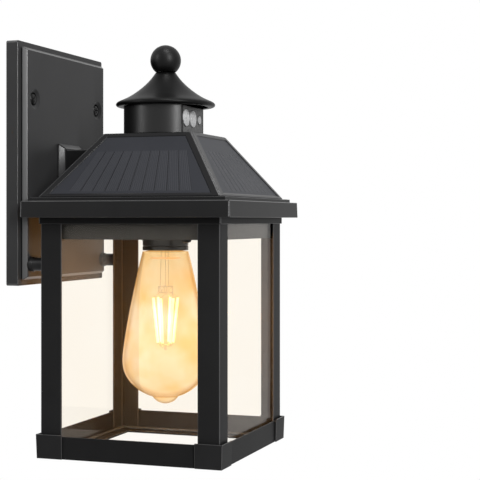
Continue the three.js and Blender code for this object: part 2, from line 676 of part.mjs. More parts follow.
const trayTopZ = TOP_FRAME_Z + 6;
const trayRimW = 8;
const trayScrewHoles = trayScrewAt.map(([x, y]) => (
  rodZ(trayScrew.hole, TRAY_Z - 1, TRAY_Z + TRAY_T + 1, x, y, 12)
));
const tray = cut(
  join(
    squareRing(TRAY_HALF, TRAY_HALF - TRAY_T, TRAY_Z, trayTopZ),
    tower(TRAY_HALF, TRAY_HALF, TRAY_Z, TRAY_Z + TRAY_T + TRAY_LIP),
  ),
  tower(TRAY_HALF - TRAY_T, TRAY_HALF - TRAY_T, TRAY_Z + TRAY_T + TRAY_LIP, trayTopZ + 1),
  tower(TRAY_HALF - trayRimW, TRAY_HALF - trayRimW, TRAY_Z + TRAY_T, trayTopZ),
  rodZ(HOLDER_R + FIT, TRAY_Z - 1, trayTopZ, 0, 0, 48),
  ...trayScrewHoles,
);
piece(lantern, 'tray', tray, BLACK);
hands.forEach(([, hand], i) => {
  const { r, head, headH, past } = trayScrew;
  const headZ = TRAY_Z - FIT - headH;
  const screw = screwZ(r, head, headH, headZ, BRIDGE_Z + BRIDGE_T + past, ...trayScrewAt[i]);
  piece(lantern, `tray_screw_${hand}`, screw, STEEL);
});

const holderCeiling = HOLDER_TOP_Z - HOLDER_ROOF;
const holder = turned([
  [HOLDER_BORE, HOLDER_Z],
  [HOLDER_R, HOLDER_Z],
  [HOLDER_R, HOLDER_TOP_Z - 2],
  [HOLDER_R - 2, HOLDER_TOP_Z],
  [NIPPLE_R + FIT, HOLDER_TOP_Z],
  [NIPPLE_R + FIT, holderCeiling],
  [HOLDER_BORE, holderCeiling],
  [HOLDER_BORE, HOLDER_Z],
], 28);
piece(lantern, 'lampholder', holder, PLASTIC);

// The threaded shell and the bulb's cap: ring grooves of one pitch, a running gap apart.
const PITCH = 3.6;
const THREAD_H = 0.45;
const shellIn = BULB_CAP_R + 0.45;
const shellZ = HOLDER_Z + 3;
const shellTopZ = holderCeiling - FIT;
const shellOutline = [[HOLDER_BORE - FIT, shellZ], [HOLDER_BORE - FIT, shellTopZ]];
const shellRidges = Math.floor((shellTopZ - shellZ) / PITCH);
for (let i = shellRidges; i > 0; i -= 1) {
  shellOutline.push([shellIn, shellZ + i * PITCH], [shellIn + THREAD_H, shellZ + (i - 0.5) * PITCH]);
}
shellOutline.push([shellIn, shellZ], [HOLDER_BORE - FIT, shellZ]);
piece(lantern, 'holder_shell', turned(shellOutline, 12), BRASS);

const contact = pipe(4.6, 1.2, holderCeiling - FIT - 0.5, holderCeiling - FIT, 20);
piece(lantern, 'holder_contact', contact, BRASS);
const nippleTopZ = BRIDGE_Z + BRIDGE_T + 8;
piece(lantern, 'nipple', pipe(NIPPLE_R, NIPPLE_BORE, holderCeiling + FIT, nippleTopZ, 24), BRASS);
const nutZ = BRIDGE_Z + BRIDGE_T + FIT;
piece(lantern, 'nipple_nut', hexNut(8, NIPPLE_R + FIT, nutZ, nutZ + 3), BRASS);

// ---------- Bulb ----------

const bulb = new THREE.Group();
bulb.position.z = BULB_TOP_Z;
lantern.add(bulb);

// Depths below the tip contact.
const capTop = 3;
const capEnd = capTop + BULB_CAP_L;
const capWall = 0.5;
const pipH = 5.6;

const capOutline = [[BULB_CAP_R - capWall, -capEnd], [BULB_CAP_R, -capEnd]];
const capRidges = Math.floor((BULB_CAP_L - 5) / PITCH);
for (let i = 0; i < capRidges; i += 1) {
  capOutline.push(
    [BULB_CAP_R - THREAD_H, -capEnd + 3 + i * PITCH],
    [BULB_CAP_R, -capEnd + 3 + (i + 0.5) * PITCH],
  );
}
capOutline.push(
  [BULB_CAP_R - 1, -capTop],
  [5.6, -capTop],
  [5.6, -capTop - capWall],
  [BULB_CAP_R - 1.6, -capTop - capWall],
  [BULB_CAP_R - THREAD_H - capWall, -capTop - 2],
  [BULB_CAP_R - THREAD_H - capWall, -capEnd + 2],
  [BULB_CAP_R - capWall, -capEnd],
);
piece(bulb, 'bulb_cap', turned(capOutline, 12), BRASS);
piece(bulb, 'bulb_tip', turned([
  [0, -capTop - 3], [4.6, -capTop - 3], [4.6, -capTop], [3.6, -0.8], [2.6, 0], [0, 0],
], 20), BRASS);

// Glass: from the neck in the cap out to a shoulder, down a long flank and round to a small pip.
const shoulderR = BULB_R * 0.53;
const shoulder = BULB_TOP_Z - HOLDER_Z + 1;
const flankL = BULB_L - pipH - shoulder;
const flank = new THREE.SplineCurve([
  new THREE.Vector2(shoulderR, -shoulder),
  new THREE.Vector2(BULB_R * 0.65, -shoulder - flankL * 0.14),
  new THREE.Vector2(BULB_R * 0.77, -shoulder - flankL * 0.31),
  new THREE.Vector2(BULB_R * 0.923, -shoulder - flankL * 0.56),
  new THREE.Vector2(BULB_R, -shoulder - flankL * 0.75),
  new THREE.Vector2(BULB_R * 0.925, -shoulder - flankL * 0.86),
  new THREE.Vector2(BULB_R * 0.61, -shoulder - flankL * 0.965),
  new THREE.Vector2(BULB_R * 0.31, -shoulder - flankL),
]);
const neckR = BULB_CAP_R - THREAD_H - capWall - 1.1;
const outerPath = [
  new THREE.Vector2(neckR, -capTop - 6),
  new THREE.Vector2(neckR, -capEnd + 3),
  new THREE.Vector2(BULB_CAP_R - 1.4, -capEnd - 0.35),
  ...flank.getPoints(11),
  new THREE.Vector2(BULB_R * 0.24, -BULB_L + pipH * 0.45),
  new THREE.Vector2(BULB_R * 0.12, -BULB_L + pipH * 0.08),
  new THREE.Vector2(0, -BULB_L),
];
// The same path moved in by the wall, toward the axis and the bulb's middle.
function insetPath(path, wall) {
  return path.map((point, i) => {
    const before = path[Math.max(i - 1, 0)];
    const after = path[Math.min(i + 1, path.length - 1)];
    const along = after.clone().sub(before).normalize();
    const inset = new THREE.Vector2(point.x + along.y * wall, point.y - along.x * wall);
    return i === path.length - 1 ? new THREE.Vector2(0, point.y + wall) : inset;
  });
}
const glassOutline = [...[...outerPath].reverse(), ...insetPath(outerPath, GLASS_WALL)];
piece(bulb, 'bulb_glass', turned(glassOutline.map((p) => [Math.max(p.x, 0), p.y]), 20), AMBER);

// Glass stem, with the ring of filaments hung round it.
const filamentTop = 63;
const filamentLow = 97;
const stemEnd = 58;
piece(bulb, 'bulb_stem', turned([
  [0, -stemEnd], [1.8, -stemEnd], [2.4, -stemEnd + 6], [2.4, -36], [5, -24],
  [neckR - GLASS_WALL - 1, -14], [0, -14],
], 20), CLEAR);

const filamentCount = 6;
const cluster = [];
const filamentR = 0.9;
const wireR = 0.45;
const ringTopR = 9.4;
const ringLowR = 5.6;

function strut(from, to, r, segments) {
  const along = new THREE.Vector3().subVectors(to, from);
  const geometry = new THREE.CylinderGeometry(r, r, along.length(), segments);
  const turn = new THREE.Quaternion().setFromUnitVectors(
    new THREE.Vector3(0, 1, 0),
    along.clone().normalize(),
  );
  geometry.applyQuaternion(turn);
  const middle = from.clone().add(to).multiplyScalar(0.5);
  return solid(geometry.translate(middle.x, middle.y, middle.z));
}

for (let i = 0; i < filamentCount; i += 1) {
  const angle = (i / filamentCount) * Math.PI * 2;
  const at = (r, z) => new THREE.Vector3(r * Math.cos(angle), r * Math.sin(angle), z);
  cluster.push(strut(at(ringTopR, -filamentTop), at(ringLowR, -filamentLow), filamentR, 8));
  cluster.push(strut(at(3.2, -stemEnd + 2), at(ringTopR, -filamentTop - 0.6), wireR, 6));
}
cluster.push(pipe(3.6, 2.8, -stemEnd + 1, -stemEnd + 3, 12));
cluster.push(pipe(ringLowR + 0.5, ringLowR - 0.5, -filamentLow - 0.2, -filamentLow + 0.8, 24));
piece(bulb, 'bulb_filaments', join(...cluster), { color: 0xffd27a, roughness: 0.6, metalness: 0 });

// ---------- Sensor head ----------

const headTopZ = HEAD_Z + HEAD_H;
const headFloor = 2;
const windowBackY = -WINDOW_D + WINDOW_T;

const headCut = block(-HEAD_R, HEAD_R, -HEAD_R - 1, windowBackY + FIT, HEAD_Z - 1, headTopZ + 1);
const head = cut(
  join(
    pipe(HEAD_R, HEAD_R - HEAD_T, HEAD_Z, headTopZ, 40),
    rodZ(HEAD_R - 1, HEAD_Z, HEAD_Z + headFloor, 0, 0, 40),
  ),
  headCut,
  rodZ(ROD_R + FIT, HEAD_Z - 1, HEAD_Z + headFloor + 1),
  rodZ(HEAD_WIRE_R, HEAD_Z - 1, HEAD_Z + headFloor + 1, HEAD_WIRE_X, 0),
);
piece(lantern, 'sensor_head', head, BLACK);

const lenses = [
  ['lens_a', -LENS_PITCH, LENS_R, LENS_PROUD],
  ['lens_b', 0, LENS_R, LENS_PROUD],
  ['light_sensor_lens', LENS_PITCH - 0.4, SMALL_LENS_R, SMALL_LENS_PROUD],
];
const windowTopZ = BRIM_Z - FIT;
const pane = rodZ(HEAD_R, HEAD_Z, windowTopZ, 0, 0, 40)
  .intersect(block(-HEAD_R, HEAD_R, -WINDOW_D, windowBackY, HEAD_Z, windowTopZ));
const lensHoles = lenses.map(([, x, r]) => rodY(r + FIT, -WINDOW_D - 1, windowBackY + 1, x, LENS_Z, 24));
piece(lantern, 'sensor_window', cut(pane, ...lensHoles), PLASTIC);

for (const [name, x, r, proud] of lenses) {
  const rear = windowBackY + 1;
  const rim = 0.5;
  const bulge = proud - rim;
  const sphereR = (r * r + bulge * bulge) / (2 * bulge);
  const outline = [[0, 0]];
  const depth = WINDOW_T + 1 + rim;
  outline.push([r, 0]);
  const arcSteps = 4;
  for (let i = 0; i <= arcSteps; i += 1) {
    const radius = r * (1 - i / arcSteps);
    outline.push([radius, depth + Math.sqrt(sphereR ** 2 - radius ** 2) - (sphereR - bulge)]);
  }
  const points = outline.map(([a, b]) => new THREE.Vector2(a, b));
  const dome = new THREE.LatheGeometry(points, 16).rotateX(Math.PI).translate(x, rear, LENS_Z);
  piece(lantern, name, solid(dome), LENS);
}

const boardY = windowBackY + 6.5;
const boardHalf = LENS_PITCH + LENS_R - 0.7;
const board = join(
  block(-boardHalf, boardHalf, boardY, boardY + 1.6, HEAD_Z + headFloor + FIT, BRIM_Z - 1),
  ...lenses.slice(0, 2).map(([, x]) => rodY(4.1, boardY - 4, boardY + 0.5, x, LENS_Z, 20)),
);
piece(lantern, 'sensor_board', board, { color: 0x1d5b35, roughness: 0.5, metalness: 0 });

// ---------- Cone cap, rod and finial ----------

const brimR = HEAD_R + BRIM_OVER;
const mouthR = HEAD_R + FIT;
const flankFootR = brimR - 3;
const flankFootZ = BRIM_Z + BRIM_T;
const coneSteps = 8;
const brimSteps = 4;

// The hollow flank of the cone: t runs from the neck to the brim.
function conePoint(t) {
  const spread = 0.55 * t + 0.45 * t ** 2.6;
  return [NECK_R + (flankFootR - NECK_R) * spread, NECK_Z - (NECK_Z - flankFootZ) * t];
}

function coneCap() {
  const outline = [[mouthR, BRIM_Z]];
  const brimHalf = BRIM_T / 2;
  for (let i = 0; i <= brimSteps; i += 1) {
    const turn = (i / brimSteps - 0.5) * Math.PI;
    outline.push([
      brimR - brimHalf + brimHalf * Math.cos(turn),
      BRIM_Z + brimHalf + brimHalf * Math.sin(turn),
    ]);
  }
  for (let i = coneSteps; i >= 0; i -= 1) outline.push(conePoint(i / coneSteps));
  const bore = ROD_R + FIT;
  outline.push([bore, NECK_Z], [bore, NECK_Z - CONE_T]);
  for (let i = 1; i < coneSteps; i += 1) {
    const [r, z] = conePoint(i / coneSteps);
    outline.push([Math.min(r - CONE_T, mouthR), z - CONE_T / 2]);
  }
  outline.push([mouthR, flankFootZ - CONE_T], [mouthR, BRIM_Z]);
  return turned(outline, 32);
}

piece(lantern, 'cone_cap', coneCap(), BLACK);

const rodFoot = ROOF_TOP_Z - ROOF_T - 7;
const rodTop = BALL_Z + 4;
piece(lantern, 'centre_rod', rodZ(ROD_R, rodFoot, rodTop, 0, 0, 12), STEEL);
piece(
  lantern,
  'rod_nut',
  hexNut(6.2, ROD_R + FIT, ROOF_TOP_Z - ROOF_T - FIT - 4, ROOF_TOP_Z - ROOF_T - FIT),
  STEEL,
);

const ballOutline = [[0, NECK_Z + FIT]];
const ballSteps = 8;
const ballStart = -Math.acos(NECK_R / BALL_R);
for (let i = 0; i <= ballSteps; i += 1) {
  const angle = ballStart + ((Math.PI / 2 - ballStart) * i) / ballSteps;
  ballOutline.push([Math.max(BALL_R * Math.cos(angle), 0), BALL_Z + BALL_R * Math.sin(angle)]);
}
ballOutline[ballOutline.length - 1][0] = 0;
const finial = cut(turned(ballOutline, 28), rodZ(ROD_R + FIT, NECK_Z - 1, rodTop + 1, 0, 0, 12));
piece(lantern, 'finial', finial, BLACK);

export default part;
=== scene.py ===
import math

import bmesh
import bpy
from mathutils import Matrix, Vector


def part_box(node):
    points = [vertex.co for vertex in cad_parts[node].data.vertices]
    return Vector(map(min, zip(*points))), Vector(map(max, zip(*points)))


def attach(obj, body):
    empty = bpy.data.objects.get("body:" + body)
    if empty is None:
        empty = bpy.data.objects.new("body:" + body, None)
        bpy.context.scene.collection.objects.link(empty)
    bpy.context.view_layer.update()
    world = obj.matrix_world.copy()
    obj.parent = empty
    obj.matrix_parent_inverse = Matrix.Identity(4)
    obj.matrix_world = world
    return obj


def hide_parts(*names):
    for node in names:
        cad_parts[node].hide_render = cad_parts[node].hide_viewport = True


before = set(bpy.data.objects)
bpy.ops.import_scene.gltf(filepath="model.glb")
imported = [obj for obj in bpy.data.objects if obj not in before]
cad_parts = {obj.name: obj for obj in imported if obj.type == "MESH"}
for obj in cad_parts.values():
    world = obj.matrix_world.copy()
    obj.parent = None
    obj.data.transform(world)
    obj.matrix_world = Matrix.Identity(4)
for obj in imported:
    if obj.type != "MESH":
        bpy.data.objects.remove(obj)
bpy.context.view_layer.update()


# ---------------------------------------------------------------- Wall gasket and bracket
# A die-cut ring of closed-cell foam seals the plate's rim against the wall, and a pressed,
# zinc-plated steel strap screws to the outlet box. The plate then hides both.


def maths(operation, swapped=False):
    """A method of Wire that adds one Math node."""

    def method(self, other=None):
        node = self.tree.nodes.new("ShaderNodeMath")
        node.operation = operation
        for slot, value in zip(node.inputs, (other, self) if swapped else (self, other)):
            if isinstance(value, Wire):
                self.tree.links.new(value.socket, slot)
            elif value is not None:
                slot.default_value = value
        return Wire(self.tree, node.outputs[0])

    return method


class Wire:
    """A socket of a finish that is being built. Arithmetic on it adds the Math nodes."""

    __add__, __radd__ = maths("ADD"), maths("ADD", swapped=True)
    __sub__, __rsub__ = maths("SUBTRACT"), maths("SUBTRACT", swapped=True)
    __mul__, __rmul__ = maths("MULTIPLY"), maths("MULTIPLY", swapped=True)
    __truediv__, __pow__ = maths("DIVIDE"), maths("POWER")
    __gt__, __lt__ = maths("GREATER_THAN"), maths("LESS_THAN")
    __abs__, sine, rounded = maths("ABSOLUTE"), maths("SINE"), maths("ROUND")
    most, least = maths("MAXIMUM"), maths("MINIMUM")

    def __init__(self, tree, socket):
        self.tree, self.socket = tree, socket


class Finish:
    """A material, or the studio's surround, and the node tree that shades it."""

    def __init__(self, name, surround=False):
        self.holder = (bpy.data.worlds if surround else bpy.data.materials).new(name)
        self.holder.use_nodes = True
        self.tree = self.holder.node_tree
        self.tree.nodes.clear()
        self.output = self.tree.nodes.new("ShaderNodeOutput" + ("World" if surround else "Material"))

    def add(self, kind, settings=(), sockets=(), out=0):
        """Adds a node: its settings first, then the values or links of its sockets."""
        node = self.tree.nodes.new(kind)
        for key, value in dict(settings).items():
            setattr(node, key, value)
        for key, value in dict(sockets).items():
            if isinstance(value, Wire):
                self.tree.links.new(value.socket, node.inputs[key])
            else:
                node.inputs[key].default_value = value
        return Wire(self.tree, node.outputs[out])

    def place(self):
        """Where the point lies on the piece, in metres."""
        return self.add("ShaderNodeTexCoord", out="Object")

    def noise(self, size, detail=3.0, where=None):
        """Soft patches of about this size in millimetres, from 0 to 1."""
        where = where or self.place()
        sockets = {"Vector": where, "Scale": 1000 / size, "Detail": detail, "Roughness": 0.5}
        return self.add("ShaderNodeTexNoise", {"noise_dimensions": "3D"}, sockets)

    def blend(self, factor, dark, light):
        """Mixes two colours."""
        settings = {"data_type": "RGBA", "clamp_factor": True}
        return self.add("ShaderNodeMix", settings, {0: factor, 6: dark, 7: light}, out=2)

    def stretch(self, scale):
        """The place on the piece, scaled along each axis."""
        return self.add("ShaderNodeVectorMath", {"operation": "MULTIPLY"}, {0: self.place(), 1: scale})

    def axes(self):
        """The three coordinates of the place on the piece."""
        split = self.add("ShaderNodeSeparateXYZ", sockets={0: self.place()}).socket.node
        return [Wire(self.tree, socket) for socket in split.outputs]

    def relief(self, height, depth, strength=1.0):
        """A normal from a height of 0 to 1 that stands for this depth in millimetres."""
        sockets = {"Strength": strength, "Distance": depth / 1000, "Height": height}
        return self.add("ShaderNodeBump", sockets=sockets)

    def shade(self, **sockets):
        """The Principled shader; a name such as base_color is its Base Color socket."""
        names = [key.replace("_", " ").title().replace("Ior", "IOR") for key in sockets]
        return self.add("ShaderNodeBsdfPrincipled", sockets=dict(zip(names, sockets.values())))

    def done(self, shader):
        """Ends the tree with this shader and returns what it shades."""
        self.tree.links.new(shader.socket, self.output.inputs["Surface"])
        return self.holder

    def plain(self, **sockets):
        """Ends the tree with one Principled shader."""
        return self.done(self.shade(**sockets))

    def lamplit(self, solid, tint):
        """Ends the tree with a glass shader that lets the light of lamps through."""
        passing = self.add("ShaderNodeBsdfTransparent", sockets={"Color": tint})
        shadow = self.add("ShaderNodeLightPath", out="Is Shadow Ray")
        return self.done(self.add("ShaderNodeMixShader", sockets={0: shadow, 1: solid, 2: passing}))


def grey(level, tint=(1, 1, 1)):
    return (level * tint[0], level * tint[1], level * tint[2], 1)


def dress(finish, *nodes):
    """Gives carried-over pieces their finish."""
    for node in nodes:
        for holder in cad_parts[node].material_slots:
            holder.material = finish


def cell_foam():
    foam = Finish("cell_foam")
    cells = foam.add("ShaderNodeTexVoronoi", {}, {"Vector": foam.place(), "Scale": 1400})
    patches = foam.noise(9)
    colour = foam.blend(patches, grey(0.02), grey(0.045))
    rough = 0.86 + 0.1 * patches
    return foam.plain(base_color=colour, roughness=rough, normal=foam.relief(cells, 0.25))


def zinc_plate():
    zinc, tint = Finish("zinc_plate"), (0.98, 0.99, 1.0)
    spangle = zinc.add("ShaderNodeTexVoronoi", {}, {"Vector": zinc.place(), "Scale": 260}, out="Color")
    flow = zinc.noise(0.35, where=zinc.stretch((1, 0.12, 1)))
    shift = zinc.add("ShaderNodeSeparateColor", sockets={0: spangle})
    colour = zinc.blend(shift * 0.5 + flow * 0.3, grey(0.451, tint), grey(0.6325, tint))
    rough = 0.26 + 0.16 * flow + 0.06 * shift
    normal = zinc.relief(flow, 0.03, 0.5)
    return zinc.plain(base_color=colour, metallic=1.0, roughness=rough, normal=normal)


zinc = zinc_plate()
dress(cell_foam(), "wall_gasket")
dress(zinc, "wall_bracket")


# ---------------------------------------------------------------- Back plate
# A pressed metal pan, powder coated satin black: a plain outer step, then a raised face with
# sloping sides. Two dished holes take the wall screws, and bosses behind them stiffen the pan.

PLATE_X, PLATE_Z = 69.5, 88.0
FACE_Y, STEP_Y, BACK_Y = -14.0, -9.4, -7.6
STEP_IN, POCKET_IN = 3.8, 7.6
WALL_SCREWS = [(-52.0, 47.0), (52.0, 47.0)]
BOSS_R, SCREW_HOLE_R = 9.4, 2.4
WIRE_R, WIRE_Z = 7.0, -3.9
LONG_EDGE, SQUARE_ON = 8.0, 0.975


def eased(outline, radius, steps=3, closed=True):
    """The outline with each corner turned into a small arc."""
    points = [Vector(p) for p in outline]
    count = len(points)
    out = []
    for i, corner in enumerate(points):
        if not closed and i in (0, count - 1):
            out.append(corner)
            continue
        back, ahead = points[i - 1] - corner, points[(i + 1) % count] - corner
        bend = math.pi - back.angle(ahead)
        if bend < 0.2:
            out.append(corner)
            continue
        reach = min(radius * math.tan(bend / 2), back.length * 0.45, ahead.length * 0.45)
        start, end = corner + back.normalized() * reach, corner + ahead.normalized() * reach
        for k in range(steps + 1):
            t = k / steps
            out.append(start * (1 - t) ** 2 + corner * 2 * t * (1 - t) + end * t**2)
    return [tuple(p) for p in out]


def rectangle(a, b, corner, steps=3, along=0):
    """Points round a rectangle of half-sizes a and b with rounded corners."""
    points = []
    corner = min(corner, a * 0.9, b * 0.9)
    for quarter, (sx, sy) in enumerate([(1, 1), (-1, 1), (-1, -1), (1, -1)]):
        for k in range(steps + 1):
            angle = math.pi / 2 * (quarter + k / steps)
            x = sx * (a - corner) + corner * math.cos(angle)
            y = sy * (b - corner) + corner * math.sin(angle)
            points.append(Vector((x, y)))
    if along:
        dense = []
        for i, point in enumerate(points):
            dense.append(point)
            if i % (steps + 1) == steps:
                after = points[(i + 1) % len(points)]
                dense += [point.lerp(after, k / (along + 1)) for k in range(1, along + 1)]
        points = dense
    return points


def skin(loops, wrap=False):
    """A surface through loops with the same number of points, in millimetres."""
    form = bmesh.new()
    rows = [[form.verts.new(p) for p in loop] for loop in loops]
    pairs = list(zip(rows, rows[1:])) + ([(rows[-1], rows[0])] if wrap else [])
    for low, high in pairs:
        for i in range(len(low)):
            j = (i + 1) % len(low)
            form.faces.new((low[i], low[j], high[j], high[i]))
    if not wrap:
        form.faces.new(rows[0][::-1])
        form.faces.new(rows[-1])
    return form


def settle(form):
    """Closes what touches, and turns every face outward."""
    bmesh.ops.remove_doubles(form, verts=form.verts, dist=0.004)
    bmesh.ops.recalc_face_normals(form, faces=form.faces)
    return form


def moulding(profile, a, b, to, corner=1.0, wrap=True, along=0):
    """Runs a profile of (inset, level) points round a rectangle, each put in place by to()."""
    loops = []
    for inset, level in profile:
        outline = rectangle(a - inset, b - inset, max(corner - inset, 0.3), along=along)
        loops.append([to(u, v, level) for u, v in outline])
    return settle(skin(loops, wrap))


def set_down(name, data):
    """A new object in the scene."""
    thing = bpy.data.objects.new(name, data)
    bpy.context.scene.collection.objects.link(thing)
    return thing


def upright(outline, upper, low, high):
    """A solid between a level outline and another above it."""
    return settle(skin([[(x, y, low) for x, y in outline], [(x, y, high) for x, y in upper]]))


def object_from(form, name):
    mesh = bpy.data.meshes.new(name)
    form.to_mesh(mesh)
    form.free()
    return set_down(name, mesh)


def worked(form, cuts=(), joins=()):
    """The form after other forms are joined to it and cut from it."""
    base = object_from(form, "blank")
    tools = []
    for kind, others in (("UNION", joins), ("DIFFERENCE", cuts)):
        for other in others:
            tool = object_from(other, "tool")
            tools.append(tool)
            change = base.modifiers.new(kind, "BOOLEAN")
            change.operation, change.object, change.solver = kind, tool, "EXACT"
    evaluated = base.evaluated_get(bpy.context.evaluated_depsgraph_get())
    result = bmesh.new()
    result.from_mesh(evaluated.to_mesh())
    for thing in [base, *tools]:
        bpy.data.objects.remove(thing)
    return settle(result)


def mark_edges(form):
    """Gives the long narrow faces along an edge the second finish of their piece: a lighter paint, as
    painted highlight along the edge.
    """
    form.normal_update()
    for face in form.faces:
        long = max(edge.calc_length() for edge in face.edges) > LONG_EDGE
        if long and max(abs(part) for part in face.normal) < SQUARE_ON:
            face.material_index = 1


def piece(name, form, finish, body, stands_for, slot, sharp=38, even=True, edges=None):
    """Makes the form a named piece that rides on a body and stands for its plain solids."""
    if edges and all(face.material_index == 0 for face in form.faces):
        mark_edges(form)
    form.transform(Matrix.Scale(0.001, 4))
    thing = object_from(form, name)
    for face in thing.data.polygons:
        face.use_smooth = True
    thing.data.set_sharp_from_angle(angle=math.radians(sharp))
    thing.data.materials.append(finish)
    if edges:
        thing.data.materials.append(edges)
    if even:
        level = thing.modifiers.new("even shading", "WEIGHTED_NORMAL")
        level.keep_sharp = True
    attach(thing, body)
    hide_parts(*stands_for)
    return thing


def painted(name, form, paint, node, edges=None, **shading):
    """A painted piece of the fixed lantern, in place of one plain solid."""
    return piece(name, form, paint, "lantern", [node], "black_paint", edges=edges, **shading)


def turned(profile, segments=48, centre=(0, 0), axis="Z", wrap=True):
    """Turns a (radius, level) profile about Z, or about Y with the level along Y."""
    loops = []
    for radius, level in profile:
        loop = []
        for i in range(segments):
            angle = math.tau * i / segments
            u, v = max(radius, 0.0005) * math.cos(angle), max(radius, 0.0005) * math.sin(angle)
            if axis == "Z":
                loop.append((centre[0] + u, centre[1] + v, level))
            else:
                loop.append((centre[0] + u, level, centre[1] + v))
        loops.append(loop)
    return settle(skin(loops, wrap))


def plug(radius, start, end, centre, axis="Z", segments=24):
    """A plain round plug that cuts a hole."""
    return turned([(radius, start), (radius, end)], segments, centre, axis, wrap=False)


def powder_coat(name, level=0.009, rough=0.32, tint=(1.0, 1.0, 1.02), sheen=0.1):
    """Satin black powder coat: a faint orange peel, with softly varied tone and gloss."""
    paint = Finish(name)
    peel = paint.noise(1.3, detail=2.0)
    drift = paint.noise(34, detail=2.0)
    dust = paint.noise(0.35, detail=1.0)
    colour = paint.blend(drift * 0.7 + dust * 0.3, grey(level * 0.75, tint), grey(level * 1.3, tint))
    gloss = rough - 0.05 + 0.08 * drift + 0.05 * dust
    normal = paint.relief(peel, 0.03, 0.35)
    return paint.plain(base_color=colour, roughness=gloss, specular_ior_level=sheen, normal=normal)


def back_plate():
    shoulder = [(7.0, FACE_Y), (6.3, -13.85), (5.8, -13.3)]
    undercut = [(4.3, -11.2), (4.1, -10.8), (5.9, -10.6), (5.9, -9.5)]
    wall = [(STEP_IN, STEP_Y), (0, STEP_Y), (0, 0), (1.8, 0), (1.8, BACK_Y)]
    pocket = [(POCKET_IN, BACK_Y), (POCKET_IN, -12.2)]
    section = shoulder + undercut + eased(wall + pocket, 0.5, closed=False)
    pan = moulding(section, PLATE_X, PLATE_Z, lambda u, v, y: (u, y, v), 1.6, wrap=False)
    boss = [(BOSS_R, -12.9), (BOSS_R, -5.0), (SCREW_HOLE_R, -5.0), (SCREW_HOLE_R, -12.9)]
    dish = [(0, -16), (8.4, -16), (7.6, FACE_Y), (7.0, -13.7), (4.9, -12.6), (4.9, -10.4)]
    dish += [(SCREW_HOLE_R, -10.4), (SCREW_HOLE_R, 1), (0, 1)]
    bosses = [turned(boss, 40, at, "Y") for at in WALL_SCREWS]
    bores = [turned(dish, 40, at, "Y", wrap=False) for at in WALL_SCREWS]
    bores.append(plug(WIRE_R, -20, 1, (0, WIRE_Z), "Y", 40))
    return worked(pan, bores, bosses)


plate_paint = powder_coat("plate_paint", level=0.024, rough=0.36, sheen=0.07)
# The edge finish below is a lighter paint on the long bevel faces, as painted highlight along the edges;
# its higher sheen is real gloss.
edge_highlight = powder_coat("edge_highlight", level=0.03, rough=0.3, sheen=0.45)
painted("Plate", back_plate(), plate_paint, "back_plate", edge_highlight, sharp=30)


# ---------------------------------------------------------------- Screws of the plate
# Pan-head machine screws with a cross recess: black ones in the dished holes, a green-tinted
# brass one for the earth wire, and zinc-plated ones from behind into the arm and the spacers.


def screw_form(head_r, head_h, shank_r, length):
    """A pan-head screw along +Z, with its head's top at the origin."""
    dome = [(0, 0), (head_r * 0.45, 0.03), (head_r * 0.78, head_h * 0.16)]
    dome += [(head_r * 0.95, head_h * 0.42), (head_r, head_h * 0.72)]
    dome += [(head_r * 0.98, head_h), (shank_r, head_h)]
    pitch = shank_r * 0.5
    turns = int((length - head_h - 1) / pitch)
    for i in range(turns):
        at = head_h + 0.4 + i * pitch
        dome += [(shank_r, at), (shank_r * 0.82, at + pitch / 2)]
    dome += [(shank_r, length - 0.5), (shank_r * 0.7, length), (0, length)]
    blank = turned(dome, 24, wrap=False)
    arm, half, depth = head_r * 0.55, head_r * 0.12, head_h * 0.55
    slots = []
    for a, b in ((arm, half), (half, arm)):
        levels = [(1.1, -0.5), (1, 0.1), (0.6, depth)]
        loops = [[(u, v, z) for u, v in rectangle(a * k, b * k, 0.05, 1)] for k, z in levels]
        slots.append(settle(skin(loops)))
    return worked(blank, slots)


def screw(node, finish, head_h, shank_r, slot, toward=(0, 1, 0), at=None, reach=None):
    """Puts a screw where its plain solid lies. toward points from its head to its tip."""
    low, high = (corner * 1000 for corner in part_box(node))
    aim, middle, size = Vector(toward), (low + high) / 2, high - low
    along = max(range(3), key=lambda i: abs(aim[i]))
    length = reach or size[along]
    head_r = size[(along + 1) % 3] / 2 if reach is None else size[0] / 2
    form = screw_form(head_r * 0.985, head_h, shank_r, length)
    start = Vector(at) if at else middle - aim * length / 2
    form.transform(Matrix.Translation(start) @ aim.to_track_quat("Z", "X").to_matrix().to_4x4())
    return piece("Screw." + node.replace("_screw", ""), form, finish, "lantern", [node], slot, sharp=50)


def metal(name, colour, rough):
    """Plain metal with faint turning marks and handling wear."""
    bare = Finish(name)
    marks = bare.noise(0.5, where=bare.stretch((1, 1, 0.1)))
    handled = bare.noise(6)
    dull = tuple(c * 0.65 for c in colour[:3]) + (1,)
    shade = bare.blend(handled * 0.6 + marks * 0.4, dull, colour)
    gloss = rough + 0.14 * handled - 0.07 + 0.06 * marks
    normal = bare.relief(marks, 0.02, 0.4)
    return bare.plain(base_color=shade, metallic=1.0, roughness=gloss, normal=normal)


screw_black = powder_coat("screw_black", level=0.004, rough=0.3, sheen=0.15)
screw_brass = metal("screw_brass", (0.32, 0.5, 0.2, 1), 0.3)
for hand in ("left", "right"):
    screw(f"wall_screw_{hand}", screw_black, 2.6, 2.0, "black_screw")
    screw(f"spacer_screw_{hand}", zinc, 2.0, 1.3, "zinc_steel", toward=(0, -1, 0))
screw("earth_screw", screw_brass, 2.2, 1.8, "earth_brass")
for level in ("lower", "upper"):
    screw(f"arm_root_screw_{level}", zinc, 2.4, 1.6, "zinc_steel", toward=(0, -1, 0))


# ---------------------------------------------------------------- Arm
# A short rectangular duct, cast with a sloping foot. Screws from behind the plate hold the foot,
# and the far end is cut to the slope of the roof. The wires run through it.

